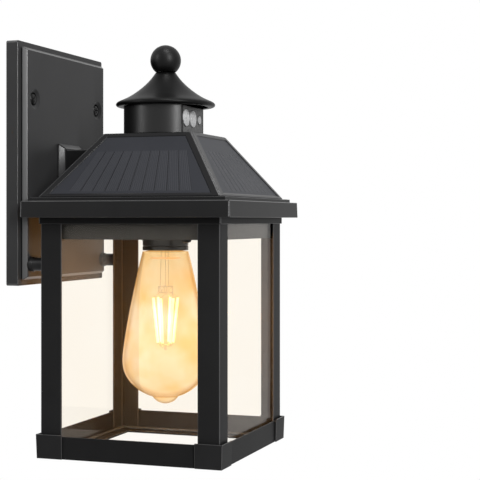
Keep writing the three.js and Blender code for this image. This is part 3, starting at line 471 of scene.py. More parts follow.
ARM_HALF, ARM_LOW, ARM_HIGH = 13.0, -20.0, 12.2
AXIS_Y = -94.8
AXIS = (0, AXIS_Y)
ROOF_LOW, ROOF_HIGH = -24.6, 21.9
ROOF_FOOT, ROOF_CROWN = 69.1, 34.2
FOOT_PROFILE = [
    (4.0, -14.3), (4.3, -14.55), (4.3, -15.1), (4.0, -15.5), (1.6, -18.6), (0.9, -19.0),
    (0.1, -19.1), (0, -19.6),
]


def roof_half(z):
    """Half-width of the roof's skin at a height."""
    return ROOF_FOOT - (z - ROOF_LOW) * (ROOF_FOOT - ROOF_CROWN) / (ROOF_HIGH - ROOF_LOW)


def arm():
    middle, rise = (ARM_HIGH + ARM_LOW) / 2, (ARM_HIGH - ARM_LOW) / 2
    loops = []
    for grow, y in FOOT_PROFILE:
        outline = rectangle(ARM_HALF + grow, rise + grow, 0.9)
        loops.append([(u, y, middle + v) for u, v in outline])
    end = []
    for u, v in rectangle(ARM_HALF, rise, 0.9):
        z = middle + v
        end.append((u, AXIS_Y + roof_half(z) + 0.4, z))
    loops.append(end)
    return settle(skin(loops))


def slope_screw(node, z):
    """A screw from inside the roof, square to its rear slope."""
    out = Vector((0, ROOF_HIGH - ROOF_LOW, ROOF_FOOT - ROOF_CROWN)).normalized()
    foot = Vector((0, AXIS_Y + roof_half(z), z))
    screw(node, zinc, 2.4, 1.6, "zinc_steel", toward=out, at=foot - out * 4.1, reach=10.1)


arm_paint = powder_coat("arm_paint", level=0.012, sheen=0.04)
painted("Arm", arm(), arm_paint, "arm", edge_highlight)
slope_screw("arm_roof_screw_lower", -13.4)
slope_screw("arm_roof_screw_upper", 5.6)


# ---------------------------------------------------------------- Spacers
# Two turned rods low on the plate keep the cage off the wall. Each has a collar at the plate
# and a pin that enters a hole in the rear post; a screw through the plate holds it.

SPACER_X, SPACER_Z = 58.8, -72.6
spacer_paint = powder_coat("spacer_paint", level=0.008, sheen=0.15)
spacer_outline = [(1.6, -14.3), (5.4, -14.3), (5.4, -16.9), (4.8, -17.3), (4.8, -26.6)]
spacer_outline += [(2.0, -26.6), (2.0, -28.1), (0.9, -28.3), (0.9, -22.3), (1.6, -22.3)]
for side, hand in ((-1, "left"), (1, "right")):
    form = turned(eased(spacer_outline, 0.35, 2), 40, (side * SPACER_X, SPACER_Z), "Y")
    painted(f"Spacer.{hand}", form, spacer_paint, f"spacer_{hand}")


# ---------------------------------------------------------------- Cage posts
# Four corner posts folded from sheet to an L section. Each ends in a tab that is clamped under
# the eave, and stands in the bottom frame at its foot. The folds carry a lighter paint as painted highlight
# along their edges.

POST_OUT, POST_LEG, POST_SHEET = 67.8, 16.3, 1.2
POST_FOOT, POST_TOP = -208.1, -26.8
TAB_SHEET, CLAMP_AT = 1.5, 58.9
CORNERS = [("front_left", -1, -1), ("front_right", 1, -1), ("rear_left", -1, 1), ("rear_right", 1, 1)]


def soften(form, ease):
    """Rounds off every sharp edge."""
    sharp = [e for e in form.edges if len(e.link_faces) == 2 and e.calc_face_angle() > 0.35]
    settings = {"segments": 2, "profile": 0.5, "affect": "EDGES", "clamp_overlap": True}
    bmesh.ops.bevel(form, geom=sharp, offset=ease, **settings)
    return form


def prism(outline, low, high, ease=0.4):
    """An upright prism with every edge eased."""
    return soften(upright(outline, outline, low, high), ease)


def angle_section(out, leg, sheet, sx, sy):
    """The L outline of a corner piece, about the lantern's axis."""
    inner, thin = out - leg, out - sheet
    corner = [(out, out), (out, inner), (thin, inner), (thin, thin), (inner, thin), (inner, out)]
    return [(sx * x, AXIS_Y + sy * y) for x, y in corner]


post_paint = powder_coat("post_paint", level=0.012, sheen=0.02)
for place, sx, sy in CORNERS:
    post = prism(angle_section(POST_OUT, POST_LEG, POST_SHEET, sx, sy), POST_FOOT, POST_TOP, 0.5)
    tab_in, tab_out = POST_OUT - POST_LEG, POST_OUT - POST_SHEET
    tab = [(tab_in, tab_in), (tab_out, tab_in), (tab_out, tab_out), (tab_in, tab_out)]
    tab = prism([(sx * x, AXIS_Y + sy * y) for x, y in tab], POST_TOP - TAB_SHEET, POST_TOP, 0.2)
    cuts = [plug(2.2, POST_TOP - 3, POST_TOP + 1, (sx * CLAMP_AT, AXIS_Y + sy * CLAMP_AT))]
    if sy > 0:
        cuts.append(plug(2.3, -31, -25, (sx * SPACER_X, SPACER_Z), "Y"))
    painted(f"Post.{place}", worked(post, cuts, [tab]), post_paint, f"post_{place}", edge_highlight)


# ---------------------------------------------------------------- Bottom frame, top frame and corner caps
# The frames are roll-formed sheet: the bottom one has an inward flange that carries the glass and
# leaves the middle open. Tapered caps sleeve its corners, flared a little at their upper rims.

FRAME_OUT = 69.0


def about_axis(u, v, z):
    return (u, AXIS_Y + v, z)


frame_paint = powder_coat("frame_paint", level=0.01, sheen=0.02)
bottom_section = [(0, -210), (0, -193.8), (0.9, -193.8), (0.9, -208.4), (14, -208.4), (14, -210)]
top_section = [(0, -43.6), (0, -26.8), (0.9, -26.8), (0.9, -43.6)]
for end, section, ease in (("bottom", bottom_section, 0.45), ("top", top_section, 0.4)):
    band = moulding(eased(section, ease), FRAME_OUT, FRAME_OUT, about_axis)
    painted(f"Frame.{end}", band, frame_paint, f"{end}_frame", edge_highlight)

CAP_LOW, CAP_HIGH = -210.0, -192.8
CAP_OUT, CAP_LEG, CAP_SHEET, CAP_FLARE = 70.0, 19.8, 0.7, 0.5
cap_paint = powder_coat("cap_paint", level=0.014, sheen=0.02)
for place, sx, sy in CORNERS:
    low = angle_section(CAP_OUT, CAP_LEG, CAP_SHEET, sx, sy)
    outer = CAP_OUT - 0.1
    high = [(x + sx * CAP_FLARE * (abs(x) > outer), y) for x, y in low]
    high = [(x, y + sy * CAP_FLARE * (abs(y - AXIS_Y) > outer)) for x, y in high]
    cap = soften(upright(low, high, CAP_LOW, CAP_HIGH), 0.3)
    painted(f"Cap.{place}", cap, cap_paint, f"corner_cap_{place}", edge_highlight)


# ---------------------------------------------------------------- Panes and bead
# Four panes of clear float glass with ground edges stand behind the posts on the bottom flange,
# bedded in a bead of black sealant. Their faint warm tint is painted glow of the lamp's light.

PANE_FOOT, PANE_TOP = -208.1, -28.6
PANE_OUT, PANE_T = 66.3, 2.0


def glass(name, tint, edge_tint, bend):
    """Nearly clear glass with a faint streak of tint."""
    clear = Finish(name)
    streak = clear.noise(60, detail=1.0)
    body = clear.blend(streak, edge_tint, tint)
    solid = clear.shade(base_color=body, roughness=0.02, ior=bend, transmission_weight=1.0)
    return clear.lamplit(solid, tint)


pane_glass = glass("pane_glass", (1.0, 0.975, 0.93, 1), (0.99, 0.955, 0.895, 1), 1.12)
SIDES = [("front", -1, True), ("rear", 1, True), ("left", -1, False), ("right", 1, False)]
for place, sign, across in SIDES:
    long = PANE_OUT if across else PANE_OUT - PANE_T - 0.3
    near, far = sign * (PANE_OUT - PANE_T), sign * PANE_OUT
    corners = [(-long, near), (long, near), (long, far), (-long, far)]
    if not across:
        corners = [(b, a) for a, b in corners]
    form = prism([(x, AXIS_Y + y) for x, y in corners], PANE_FOOT, PANE_TOP, 0.35)
    piece(f"Pane.{place}", form, pane_glass, "lantern", [f"pane_{place}"], "clear_glass")

sealant = Finish("sealant")
lumps = sealant.noise(3)
sealant_black = sealant.plain(
    base_color=sealant.blend(lumps, grey(0.01), grey(0.03)),
    roughness=0.55 + 0.25 * lumps,
    normal=sealant.relief(lumps, 0.5, 0.6),
)
bead_out = PANE_OUT - PANE_T - 0.35
bead_section = [(0, -208.1), (0, -206.3), (0.9, -206.5), (1.7, -207.3), (1.75, -208.1)]
bead = moulding(eased(bead_section, 0.3), bead_out, bead_out, about_axis)
piece("Bead", bead, sealant_black, "lantern", ["glazing_bead"], "sealant")


# ---------------------------------------------------------------- Eave
# One square casting: an upright fascia with a hollow underside, then a ledge that the roof
# stands on. It drops over the top frame and is clamped with the posts' tabs.

EAVE_OUT = 78.9
eave_section = [(0, -39), (0.5, -27.4), (5.1, -27.4), (5.1, -24.9), (24.9, -24.9)]
eave_section += [(24.9, -26.5), (6.7, -26.5), (6.7, -29), (2.3, -29), (1.8, -39)]
eave_paint = powder_coat("eave_paint", level=0.011, rough=0.34, sheen=0.05)
eave = moulding(eased(eave_section, 0.5), EAVE_OUT, EAVE_OUT, about_axis, 1.3)
holes = [plug(2.1, -40, -20, (sx * CLAMP_AT, AXIS_Y + sy * CLAMP_AT)) for _, sx, sy in CORNERS]
painted("Eave", worked(eave, holes), eave_paint, "eave", edge_highlight)


# ---------------------------------------------------------------- Roof
# A four-sided pressed shell with a raised border along every hip and edge. Each slope is sunk
# below it and is scored like standing boards, with fine reeding between the seams.

RIB_RISE, RIB_W, RIB_FOOT, RIB_HEAD = 0.7, 5.4, 1.5, 2.2
BOARDS, REEDS = 10, 6
BOARDS_LOW, BOARDS_HIGH = -20.6, 8.2
BOARDS_FOOT, BOARDS_CROWN = 47.0, 35.0
SEAM_W, SEAM_DEEP = 0.5, 0.35
HIP_EDGE = [
    (0, -1.9), (-0.08, -1.45), (-0.35, -1.1), (-0.95, -0.95), (-1.1, -0.35), (-1.45, -0.08), (-1.9, 0)
]
ROOF_INSIDE = [(67.1, ROOF_LOW), (54.0, ROOF_LOW), (54.0, -23.2), (65.9, -23.2), (33.4, 20.5)]


def slope_point(turn, across, z, rise):
    """A point on one slope: across it, at a height, and raised level from the skin."""
    c, s = math.cos(turn), math.sin(turn)
    x, y = across, -(roof_half(z) + rise)
    return (x * c - y * s, AXIS_Y + x * s + y * c, z)


def seam_lines():
    """Each line across the boards: its share of their half-width, its shift and its depth."""
    lines = [(-1.0, 0.0, 0.0)]
    for seam in range(1, BOARDS):
        share = seam / BOARDS * 2 - 1
        lines += [(share, -SEAM_W / 2, 0.0), (share, 0.0, -SEAM_DEEP), (share, SEAM_W / 2, 0.0)]
    return [*lines, (1.0, 0.0, 0.0)]


def roof_rim(form, z, inset):
    """Points round the whole roof at a height, with a seam cut along each hip."""
    half = roof_half(z) + RIB_RISE - inset
    rim = []
    for quarter in range(4):
        c, s = math.cos(quarter * math.pi / 2), math.sin(quarter * math.pi / 2)
        corner = [(half + dx, -(half + dy)) for dx, dy in HIP_EDGE[::-1]]
        rim.append([form.verts.new(about_axis(x * c - y * s, x * s + y * c, z)) for x, y in corner])
    return rim


def fill_between(form, line, after, finish=0):
    for i in range(len(line) - 1):
        form.faces.new((line[i], line[i + 1], after[i + 1], after[i])).material_index = finish


def roof():
    form = bmesh.new()
    levels = [(ROOF_LOW, 0.4), (-24.2, 0), (21.5, 0), (ROOF_HIGH, 0.5)]
    rims = [roof_rim(form, z, inset) for z, inset in levels]
    low, high = ROOF_LOW + RIB_FOOT, ROOF_HIGH - RIB_HEAD
    lines = seam_lines()
    for quarter in range(4):
        turn = quarter * math.pi / 2

        def vert(across, z, rise):
            return form.verts.new(slope_point(turn, across, z, rise))

        for under, over in zip(rims, rims[1:]):
            fill_between(form, under[quarter], over[quarter], 1)
        spans = [(rim[quarter - 1][-1], rim[quarter][0]) for rim in rims]
        fill_between(form, spans[0], spans[1])
        fill_between(form, spans[2], spans[3])
        rings = [[*spans[1], *spans[2][::-1]]]
        for inset, rise in ((0, 0.7), (0.2, 0.64), (0.6, 0.3), (0.85, 0.0)):
            z0, z1 = low + inset, high - inset
            w0, w1 = roof_half(z0) - RIB_W - inset, roof_half(z1) - RIB_W - inset
            rings.append([vert(-w0, z0, rise), vert(w0, z0, rise), vert(w1, z1, rise), vert(-w1, z1, rise)])
        for ring, after in zip(rings, rings[1:]):
            fill_between(form, [*ring, ring[0]], [*after, after[0]])
        panel = rings[-1]
        foot = [vert(t * BOARDS_FOOT + dx, BOARDS_LOW, 0) for t, dx, _ in lines]
        cut_foot = [vert(t * BOARDS_FOOT + dx, BOARDS_LOW + 0.5, deep) for t, dx, deep in lines]
        cut_crown = [vert(t * BOARDS_CROWN + dx, BOARDS_HIGH - 0.5, deep) for t, dx, deep in lines]
        crown = [vert(t * BOARDS_CROWN + dx, BOARDS_HIGH, 0) for t, dx, _ in lines]
        for line, after in ((foot, cut_foot), (cut_foot, cut_crown), (cut_crown, crown)):
            fill_between(form, line, after)
        form.faces.new((panel[0], panel[1], *foot[::-1]))
        form.faces.new((panel[2], panel[3], *crown))
        form.faces.new((panel[3], panel[0], foot[0], cut_foot[0], cut_crown[0], crown[0]))
        form.faces.new((panel[1], panel[2], crown[-1], cut_crown[-1], cut_foot[-1], foot[-1]))
    form.faces.new([v for corner in rims[-1] for v in corner])
    inside = []
    for a, z in ROOF_INSIDE:
        square = [(-a, -a), (a, -a), (a, a), (-a, a)]
        inside.append([form.verts.new(about_axis(u, v, z)) for u, v in square])
    for line, after in zip(inside, inside[1:]):
        fill_between(form, [*line, line[0]], [*after, after[0]])
    form.faces.new(inside[-1])
    for quarter in range(4):
        edge, ahead = rims[0][quarter], rims[0][(quarter + 1) % 4]
        near, far = inside[0][(quarter + 1) % 4], inside[0][(quarter + 2) % 4]
        form.faces.new((*edge, near))
        form.faces.new((edge[-1], ahead[0], far, near))
    return settle(form)


def roof_coat():
    """Matt blue-black on the scored slopes, with black borders, darker seams, and reed crests lighter as
    painted highlight.
    """
    paint = Finish("roof_coat")
    x, y, z = paint.axes()
    far, near = abs(x), abs(y - AXIS_Y / 1000)
    outward, across = far.most(near), far.least(near)
    half = (z * -1000 + ROOF_LOW) * ((ROOF_FOOT - ROOF_CROWN) / (ROOF_HIGH - ROOF_LOW)) + ROOF_FOOT
    level = z * 1000
    in_height = (level > ROOF_LOW + RIB_FOOT + 0.9) * (level < ROOF_HIGH - RIB_HEAD - 0.9)
    in_panel = in_height * (across * 1000 < half - RIB_W - 0.9) * (outward * 1000 < half + 0.35)
    share = (level - BOARDS_LOW) / (BOARDS_HIGH - BOARDS_LOW)
    spread = share * (BOARDS_CROWN - BOARDS_FOOT) + BOARDS_FOOT
    row = across * 1000 / spread * (BOARDS / 2)
    on_boards = (share > 0) * (share < 1) * (row < BOARDS / 2)
    ridge = (row * (math.tau * REEDS)).sine() * 0.5 + 0.5
    to_seam = abs(row - row.rounded())
    seam = (to_seam < 0.05) * on_boards
    grain = paint.noise(0.9, detail=2.0)
    drift = paint.noise(30, detail=2.0)
    panel = paint.blend(drift * 0.6 + grain * 0.4, (0.014, 0.015, 0.018, 1), (0.025, 0.026, 0.031, 1))
    # Reed crests lighter and troughs darker: painted highlight and shade along the reeding, beside its
    # bump.
    reed_highlights = paint.blend(ridge * on_boards * 0.5, panel, (0.04, 0.041, 0.046, 1))
    seamed = paint.blend(seam * 0.6, reed_highlights, (0.008, 0.008, 0.009, 1))
    colour = paint.blend(in_panel, (0.009, 0.009, 0.0095, 1), seamed)
    normal = paint.relief(ridge * on_boards + grain * 0.3, 0.12, 0.6)
    gloss = 0.26 + 0.16 * in_panel + 0.05 * grain
    return paint.plain(base_color=colour, roughness=gloss, specular_ior_level=0.1, normal=normal)


painted("Roof", roof(), roof_coat(), "roof", edge_highlight, sharp=24)
for place, _, _ in CORNERS:
    screw(f"clamp_screw_{place}", zinc, 2.3, 1.8, "zinc_steel", toward=(0, 0, 1))


# ---------------------------------------------------------------- Bridge, tray and lampholder
# A cross of zinc-plated steel straps under the roof carries the lampholder on a hollow brass
# nipple. A painted tray below it closes off the wires; the phenolic lampholder passes through.

TRAY_OUT, HOLDER_HOLE_R = 63.5, 17.3
dress(zinc, "bridge")
brass = metal("brass", (0.76, 0.58, 0.27, 1), 0.24)
dress(brass, "nipple", "nipple_nut", "holder_contact")


def tray():
    section = [(0, -54.6), (0, -37.6), (1.1, -37.6), (1.1, -50.9), (8, -50.9), (8, -53.5)]
    section = eased(section, 0.4, closed=False)[1:]
    section = [(1.6, -54.6), (0.25, -54.55), (0, -54.2), *section]
    loops = []
    for inset, z in section:
        half = TRAY_OUT - inset
        outline = rectangle(half, half, max(1.5 - inset, 0.3), along=12)
        loops.append([about_axis(u, v, z) for u, v in outline])
    for z in (-53.5, -54.6):
        ring = []
        for x, y, _ in loops[-1][: len(loops[0])]:
            turn = math.atan2(y - AXIS_Y, x)
            ring.append(about_axis(HOLDER_HOLE_R * math.cos(turn), HOLDER_HOLE_R * math.sin(turn), z))
        loops.append(ring)
    return settle(skin(loops, wrap=True))


tray_paint = powder_coat("tray_paint", level=0.024, rough=0.4, tint=(1.0, 0.98, 0.95))
painted("Tray", tray(), tray_paint, "tray")
for hand in ("left", "right"):
    screw(f"tray_screw_{hand}", screw_black, 2.2, 1.7, "black_screw", toward=(0, 0, 1))

phenolic = Finish("phenolic")
flow_marks = phenolic.noise(4)
specks = phenolic.noise(0.6)
phenolic_black = phenolic.plain(
    base_color=phenolic.blend(flow_marks, grey(0.007), grey(0.02)),
    roughness=0.22 + 0.12 * flow_marks + 0.05 * specks,
    normal=phenolic.relief(specks, 0.03, 0.4),
)
holder_outline = [(14.6, -63.2), (17, -63.2), (17, -60.4), (16.6, -60.2), (16.6, -59.7), (17, -59.5)]
holder_outline += [(17, -33), (15, -30.9), (5.2, -30.9), (5.2, -33.9), (14.6, -33.9)]
holder = turned(eased(holder_outline, 0.4, 2), 64, AXIS)
piece("Lampholder", holder, phenolic_black, "lantern", ["lampholder"], "holder_plastic")


def ring_thread(crest, root, low, high, pitch=3.6, steps=6):
    """A wall of rounded thread rings between two heights, listed upward."""
    count = int((high - low) / pitch * steps)
    mean, swing = (crest + root) / 2, (crest - root) / 2
    levels = [low + (high - low) * i / count for i in range(count + 1)]
    return [(mean - swing * math.cos(math.tau * i / steps), z) for i, z in enumerate(levels)]


shell_wall = ring_thread(13.9, 13.45, -60.2, -34.3)
shell = turned([(14.2, -60.2), (14.2, -34.3), *shell_wall[::-1]], 48, AXIS)
piece("Holder.shell", shell, brass, "lantern", ["holder_shell"], "brass")


# ---------------------------------------------------------------- Bulb
# A screw-in bulb with a long pear-shaped envelope of amber-tinted blown glass. Inside, a clear
# glass stem carries wires and a ring of six straight filaments, all glowing.

BULB_SPLINE = [
    (17.0, -64.0), (20.8, -79.8), (24.6, -97.8), (27.3, -111.0), (29.6, -124.5), (31.4, -137.0),
    (31.9, -145.0), (31.1, -151.5), (29.2, -156.3), (25.7, -161.4), (20.2, -166.4), (14.4, -169.8),
    (9.9, -171.6), (8.3, -173.4), (5.4, -175.6), (0.0, -177.0),
]
HOT_Z, HOT_REACH = -128.0, 72.0


def smooth_through(points, steps=5):
    """A smooth curve through the points."""
    out = []
    ends = [points[0], *points, (-points[-2][0], points[-2][1])]
    for a, b, c, d in zip(ends, ends[1:], ends[2:], ends[3:]):
        for k in range(steps):
            t = k / steps
            point = []
            for p, q, r, s in zip(a, b, c, d):
                square, cube = 2 * p - 5 * q + 4 * r - s, 3 * q - p - 3 * r + s
                point.append(0.5 * (2 * q + (r - p) * t + square * t**2 + cube * t**3))
            out.append(tuple(point))
    return out + [points[-1]]


def bulb_envelope(wall=0.9):
    outside = [(11.0, -45.0), (11.0, -58.0), (11.6, -63.35), *smooth_through(BULB_SPLINE)]
    inside = []
    for i, (radius, level) in enumerate(outside[:-1]):
        before, after = outside[max(i - 1, 0)], outside[i + 1]
        run = Vector((after[0] - before[0], after[1] - before[1])).normalized()
        inside.append((max(radius + run.y * wall, 0), level - run.x * wall))
    inside.append((0, outside[-1][1] + wall))
    return turned(outside + inside[::-1], 72, AXIS)


def amber_glass():
    amber = Finish("amber_glass")
    _, _, height = amber.axes()
    cloud = amber.noise(24, detail=2.0)
    # The envelope glows by emission: painted glow of the filaments' light, brightest at filament height
    # (lit, hot), dimmer elsewhere (haze), and darker at the rim.
    rim = amber.add("ShaderNodeLayerWeight", sockets={"Blend": 0.5}, out="Facing")
    lit = 1 - (abs(height * 1000 - HOT_Z) / HOT_REACH).least(1)
    warm = (cloud * 3.2 - 1.3).most(0).least(1)
    outline = ((rim - 0.48) * 2.2).most(0).least(1)
    body = amber.blend(warm, (0.47, 0.39, 0.28, 1), (0.45, 0.31, 0.15, 1))
    tone = amber.blend(outline, body, (0.4, 0.2, 0.03, 1))
    haze = amber.blend(warm, (0.55, 0.46, 0.27, 1), (0.57, 0.37, 0.12, 1))
    hot = amber.blend(warm, (1.0, 0.83, 0.63, 1), (1.0, 0.7, 0.36, 1))
    glow = amber.blend(lit**0.9, haze, hot)
    rimmed = amber.blend(outline, glow, (0.2, 0.09, 0.005, 1))
    solid = amber.shade(
        base_color=tone,
        roughness=0.03,
        ior=1.06,
        transmission_weight=1.0,
        emission_color=rimmed,
        emission_strength=0.45,
    )
    return amber.lamplit(solid, (1.0, 0.92, 0.74, 1))


piece("Bulb.glass", bulb_envelope(), amber_glass(), "bulb", ["bulb_glass"], "amber_glass", even=False)

cap_wall = ring_thread(13.0, 12.5, -62.0, -41.5)
cap_outline = [(12.3, -63.0), (12.9, -63.0), *cap_wall, (12.4, -38.3), (5.8, -38.1), (5.8, -38.7)]
cap_outline += [(11.2, -39.2), (11.9, -41), (11.9, -62)]
piece("Bulb.cap", turned(cap_outline, 48, AXIS), brass, "bulb", ["bulb_cap"], "brass")
tip_outline = [(0, -41), (4.5, -41), (4.5, -38.3), (4.1, -37.2), (3.0, -35.7), (1.6, -35.1), (0, -35)]
solder = metal("solder", (0.62, 0.6, 0.56, 1), 0.3)
piece("Bulb.tip", turned(tip_outline, 32, AXIS, wrap=False), solder, "bulb", ["bulb_tip"], "brass")

STEM_R = 5.6
stem_outline = [(0, -50), (8.6, -50), (8.4, -60), (7.4, -64), (6.2, -68), (STEM_R, -74), (STEM_R, -88)]
stem_outline += [(5.2, -89.2), (0, -89.4)]
# The stem's warm tint is painted glow of the filaments' light.
stem_glass = glass("stem_glass", (1.0, 0.95, 0.84, 1), (1.0, 0.9, 0.72, 1), 1.06)
stem = turned(stem_outline, 40, AXIS, wrap=False)
piece("Bulb.stem", stem, stem_glass, "bulb", ["bulb_stem"], "stem_glass")

getter = Finish("amber_getter")
stain = getter.noise(3)
# The collar's amber emission is painted glow; the collar gives no light of its own.
getter_amber = getter.plain(
    base_color=getter.blend(stain, (0.75, 0.26, 0.02, 1), (0.95, 0.45, 0.06, 1)),
    roughness=0.3 + 0.1 * stain,
    emission_color=getter.blend(stain, (0.8, 0.3, 0.03, 1), (1.0, 0.5, 0.08, 1)),
    emission_strength=0.5,
)
collar = turned([(9.2, -68.6), (11.2, -68.7), (11.2, -69.4), (9.2, -69.5)], 48, AXIS)
piece("Bulb.collar", collar, getter_amber, "bulb", [], "stem_glass")


def take_in(form, part):
    """Adds a part to a form that is made of several."""
    mesh = bpy.data.meshes.new("part")
    part.to_mesh(mesh)
    form.from_mesh(mesh)
    part.free()
    bpy.data.meshes.remove(mesh)


def rod_between(form, start, end, radius, segments=10):
    """Adds a round rod with domed ends to the form."""
    along = (end - start).normalized()
    side = along.orthogonal().normalized()
    other = along.cross(side)
    dome = [(0, 0.1), (0.15, 0.7), (0.5, 1)]
    rows = [(start + along * radius * back, radius * scale) for back, scale in dome]
    rows += [(end - along * radius * back, radius * scale) for back, scale in dome[::-1]]
    loops = []
    for centre, r in rows:
        angles = [math.tau * i / segments for i in range(segments)]
        loops.append([centre + side * r * math.cos(a) + other * r * math.sin(a) for a in angles])
    take_in(form, skin(loops))


def outward(turn):
    """The level direction at this angle from the bulb's axis."""
    return Vector((math.cos(turn), math.sin(turn), 0))


def from_axis(out, radius, level):
    """A point this far from the bulb's axis, at a height."""
    return Vector((out.x * radius, AXIS_Y + out.y * radius, level))


FILAMENTS = [outward(math.tau * i / 6) for i in range(6)]
FILAMENT_TOP, FILAMENT_FOOT = (9.2, -98.4), (5.7, -131.9)


def round_ring(form, radius, level, thick, segments=36):
    """Adds a ring of round wire to the form."""
    loops = []
    for i in range(segments):
        out, loop = outward(math.tau * i / segments), []
        for k in range(8):
            a = math.tau * k / 8
            loop.append(from_axis(out, radius + thick * math.cos(a), level + thick * math.sin(a)))
        loops.append(loop)
    take_in(form, settle(skin(loops, wrap=True)))


def filament_ring():
    form = bmesh.new()
    for out in FILAMENTS:
        rod_between(form, from_axis(out, *FILAMENT_TOP), from_axis(out, *FILAMENT_FOOT), 0.95)
    return form


def lead_wires():
    form = bmesh.new()
    for i, out in enumerate(FILAMENTS):
        beside = FILAMENTS[(i + 1) % 6]
        half_way = (out + beside).normalized()
        rod_between(form, from_axis(half_way, 5.6, -95.2), from_axis(out, 9.2, -98.6), 0.3)
        rod_between(form, from_axis(half_way, 5.6, -89.6), from_axis(half_way, 5.6, -95.2), 0.28)
        rod_between(form, from_axis(half_way, 5.6, -90.4), from_axis(beside, 5.7, -94.6), 0.22)
        rod_between(form, from_axis(out, 5.7, -131.7), from_axis(out, 5.2, -133.6), 0.3)
        rod_between(form, from_axis(out, 5.2, -133.6), from_axis(half_way, 2.4, -135.4), 0.26)
    for radius, level in ((5.7, -90.2), (5.7, -94.8), (5.2, -133.6)):
        round_ring(form, radius, level, 0.32)
    for turn in (0.4, 2.5, 4.1):
        out = outward(turn)
        rod_between(form, from_axis(out, 3.4, -58), from_axis(out, 4.4, -90.4), 0.3)
    rod_between(form, Vector((0, AXIS_Y, -133.8)), Vector((0, AXIS_Y, -137.6)), 1.1)
    return form


glow = Finish("filament_glow")
beads = glow.add("ShaderNodeTexNoise", sockets={"Vector": glow.place(), "Scale": 700})
lit = glow.blend(beads, (1.0, 0.66, 0.28, 1), (1.0, 0.82, 0.5, 1))
filament_glow = glow.plain(
    base_color=(1.0, 0.8, 0.45, 1), roughness=0.6, emission_color=lit, emission_strength=5.0
)
piece("Bulb.filaments", filament_ring(), filament_glow, "bulb", ["bulb_filaments"], "filament", even=False)
nickel = metal("nickel", (0.62, 0.55, 0.42, 1), 0.3)
piece("Bulb.leads", lead_wires(), nickel, "bulb", [], "brass", even=False)


# ---------------------------------------------------------------- Sensor head
# A short painted drum on the roof, cut flat in front for a moulded window. Behind the window's
# ringed lenses, two domed and one small, sit the motion and daylight sensors on their board.

HEAD_LOW, HEAD_HIGH, HEAD_R = 22.2, 44.8, 31.0
WINDOW_FRONT, WINDOW_BACK = AXIS_Y - 21.64, AXIS_Y - 19.64
WINDOW_X, GAP_SHADE_X = 20.9, 18.8
LENS_Z = 33.7
LENSES = [("lens_a", -13.5, 6.2, 1.9), ("lens_b", 0.0, 6.2, 1.9), ("light_sensor_lens", 13.1, 3.1, 1.0)]


def slab(x0, x1, y0, y1, z0, z1):
    outline = [(x0, y0), (x1, y0), (x1, y1), (x0, y1)]
    return upright(outline, outline, z0, z1)


def sensor_head():
    wall, base = HEAD_R - 1.6, HEAD_LOW + 2
    cup = [(3.2, HEAD_LOW), (HEAD_R, HEAD_LOW), (HEAD_R, HEAD_HIGH), (wall, HEAD_HIGH)]
    cup += [(wall, base), (3.2, base)]
    drum = turned(eased(cup, 0.4), 96, AXIS)
    wires = plug(4, 20, 26, (12, AXIS_Y))
    flat = slab(-33, 33, AXIS_Y - 33, WINDOW_FRONT + 0.3, 20, 47)
    mouth = slab(-21.3, 21.3, AXIS_Y - 33, WINDOW_BACK + 0.3, 20, 42.8)
    return worked(drum, [flat, mouth, wires])


head_paint = powder_coat("head_paint", level=0.002, rough=0.34, sheen=0.32)
painted("Head", sensor_head(), head_paint, "sensor_head", sharp=30)


def window():
    front, back = WINDOW_FRONT, WINDOW_BACK
    outline = [(-WINDOW_X, front), (WINDOW_X, front), (WINDOW_X, back), (-WINDOW_X, back)]
    holes = []
    for _, x, r, _ in LENSES:
        bore = [(r + 0.8, front - 0.5), (r + 0.3, front + 0.35), (r + 0.3, back + 1)]
        holes.append(turned(bore, 40, (x, LENS_Z), "Y", wrap=False))
    return worked(prism(outline, HEAD_LOW, 42.6, 0.35), holes)


moulded = Finish("window_moulding")
mottle = moulded.noise(1.6, detail=4.0)
grain = moulded.noise(0.5)
edge_x, _, _ = moulded.axes()
# Near-black bands at the window's two sides: painted shade of the gap between the window and the drum.
side_gap_shade = abs(edge_x) > GAP_SHADE_X / 1000
faced = moulded.blend((mottle * 1.8 - 0.4).most(0).least(1), grey(0.016), grey(0.11))
window_grey = moulded.plain(
    base_color=moulded.blend(side_gap_shade, faced, grey(0.002)),
    roughness=0.34 + 0.16 * grain,
    specular_ior_level=0.15,
    normal=moulded.relief(grain, 0.06, 0.5),
)
piece("Head.window", window(), window_grey, "lantern", ["sensor_window"], "window_plastic")


def lens(x, r, proud):
    """A domed disc with raised rings, about Y."""
    front, back = WINDOW_FRONT, WINDOW_BACK + 0.9
    profile = [(0, back), (r * 0.97, back), (r, front), (r, front - 0.45)]
    rings = 5
    for i in range(1, rings * 4):
        t = i / (rings * 4)
        dome = (proud - 0.5) * math.sin(math.pi / 2 * t)
        ripple = 0.13 * abs(math.sin(math.pi * rings * t))
        profile.append((r * (1 - t), front - 0.5 - dome - ripple + 0.13))
    profile.append((0, front - proud + 0.02))
    return turned(profile, 40, (x, LENS_Z), "Y", wrap=False)


diffuser = Finish("lens_diffuser")
haze = diffuser.noise(1.4, detail=3.0)
clear_spots = (haze * 1.9 - 0.45).most(0).least(1)
lens_white = diffuser.plain(
    base_color=diffuser.blend(clear_spots, grey(0.2), grey(0.55, (0.98, 0.99, 1.0))),
    roughness=0.24 + 0.14 * haze,
    normal=diffuser.relief(haze, 0.08, 0.5),
)
for node, x, r, proud in LENSES:
    piece("Head." + node, lens(x, r, proud), lens_white, "lantern", [node], "lens_plastic", even=False)

board = Finish("circuit_board")
traces = board.add("ShaderNodeTexBrick", {}, {"Vector": board.place(), "Scale": 300})
copper = board.blend(traces, (0.01, 0.09, 0.03, 1), (0.03, 0.2, 0.07, 1))
dress(board.plain(base_color=copper, roughness=0.35), "sensor_board")


# ---------------------------------------------------------------- Cone cap, rod and finial
# A spun cone with a rolled brim closes the head. A threaded rod from inside the roof runs up
# through it, and the ball finial screws down on the rod and clamps the stack.

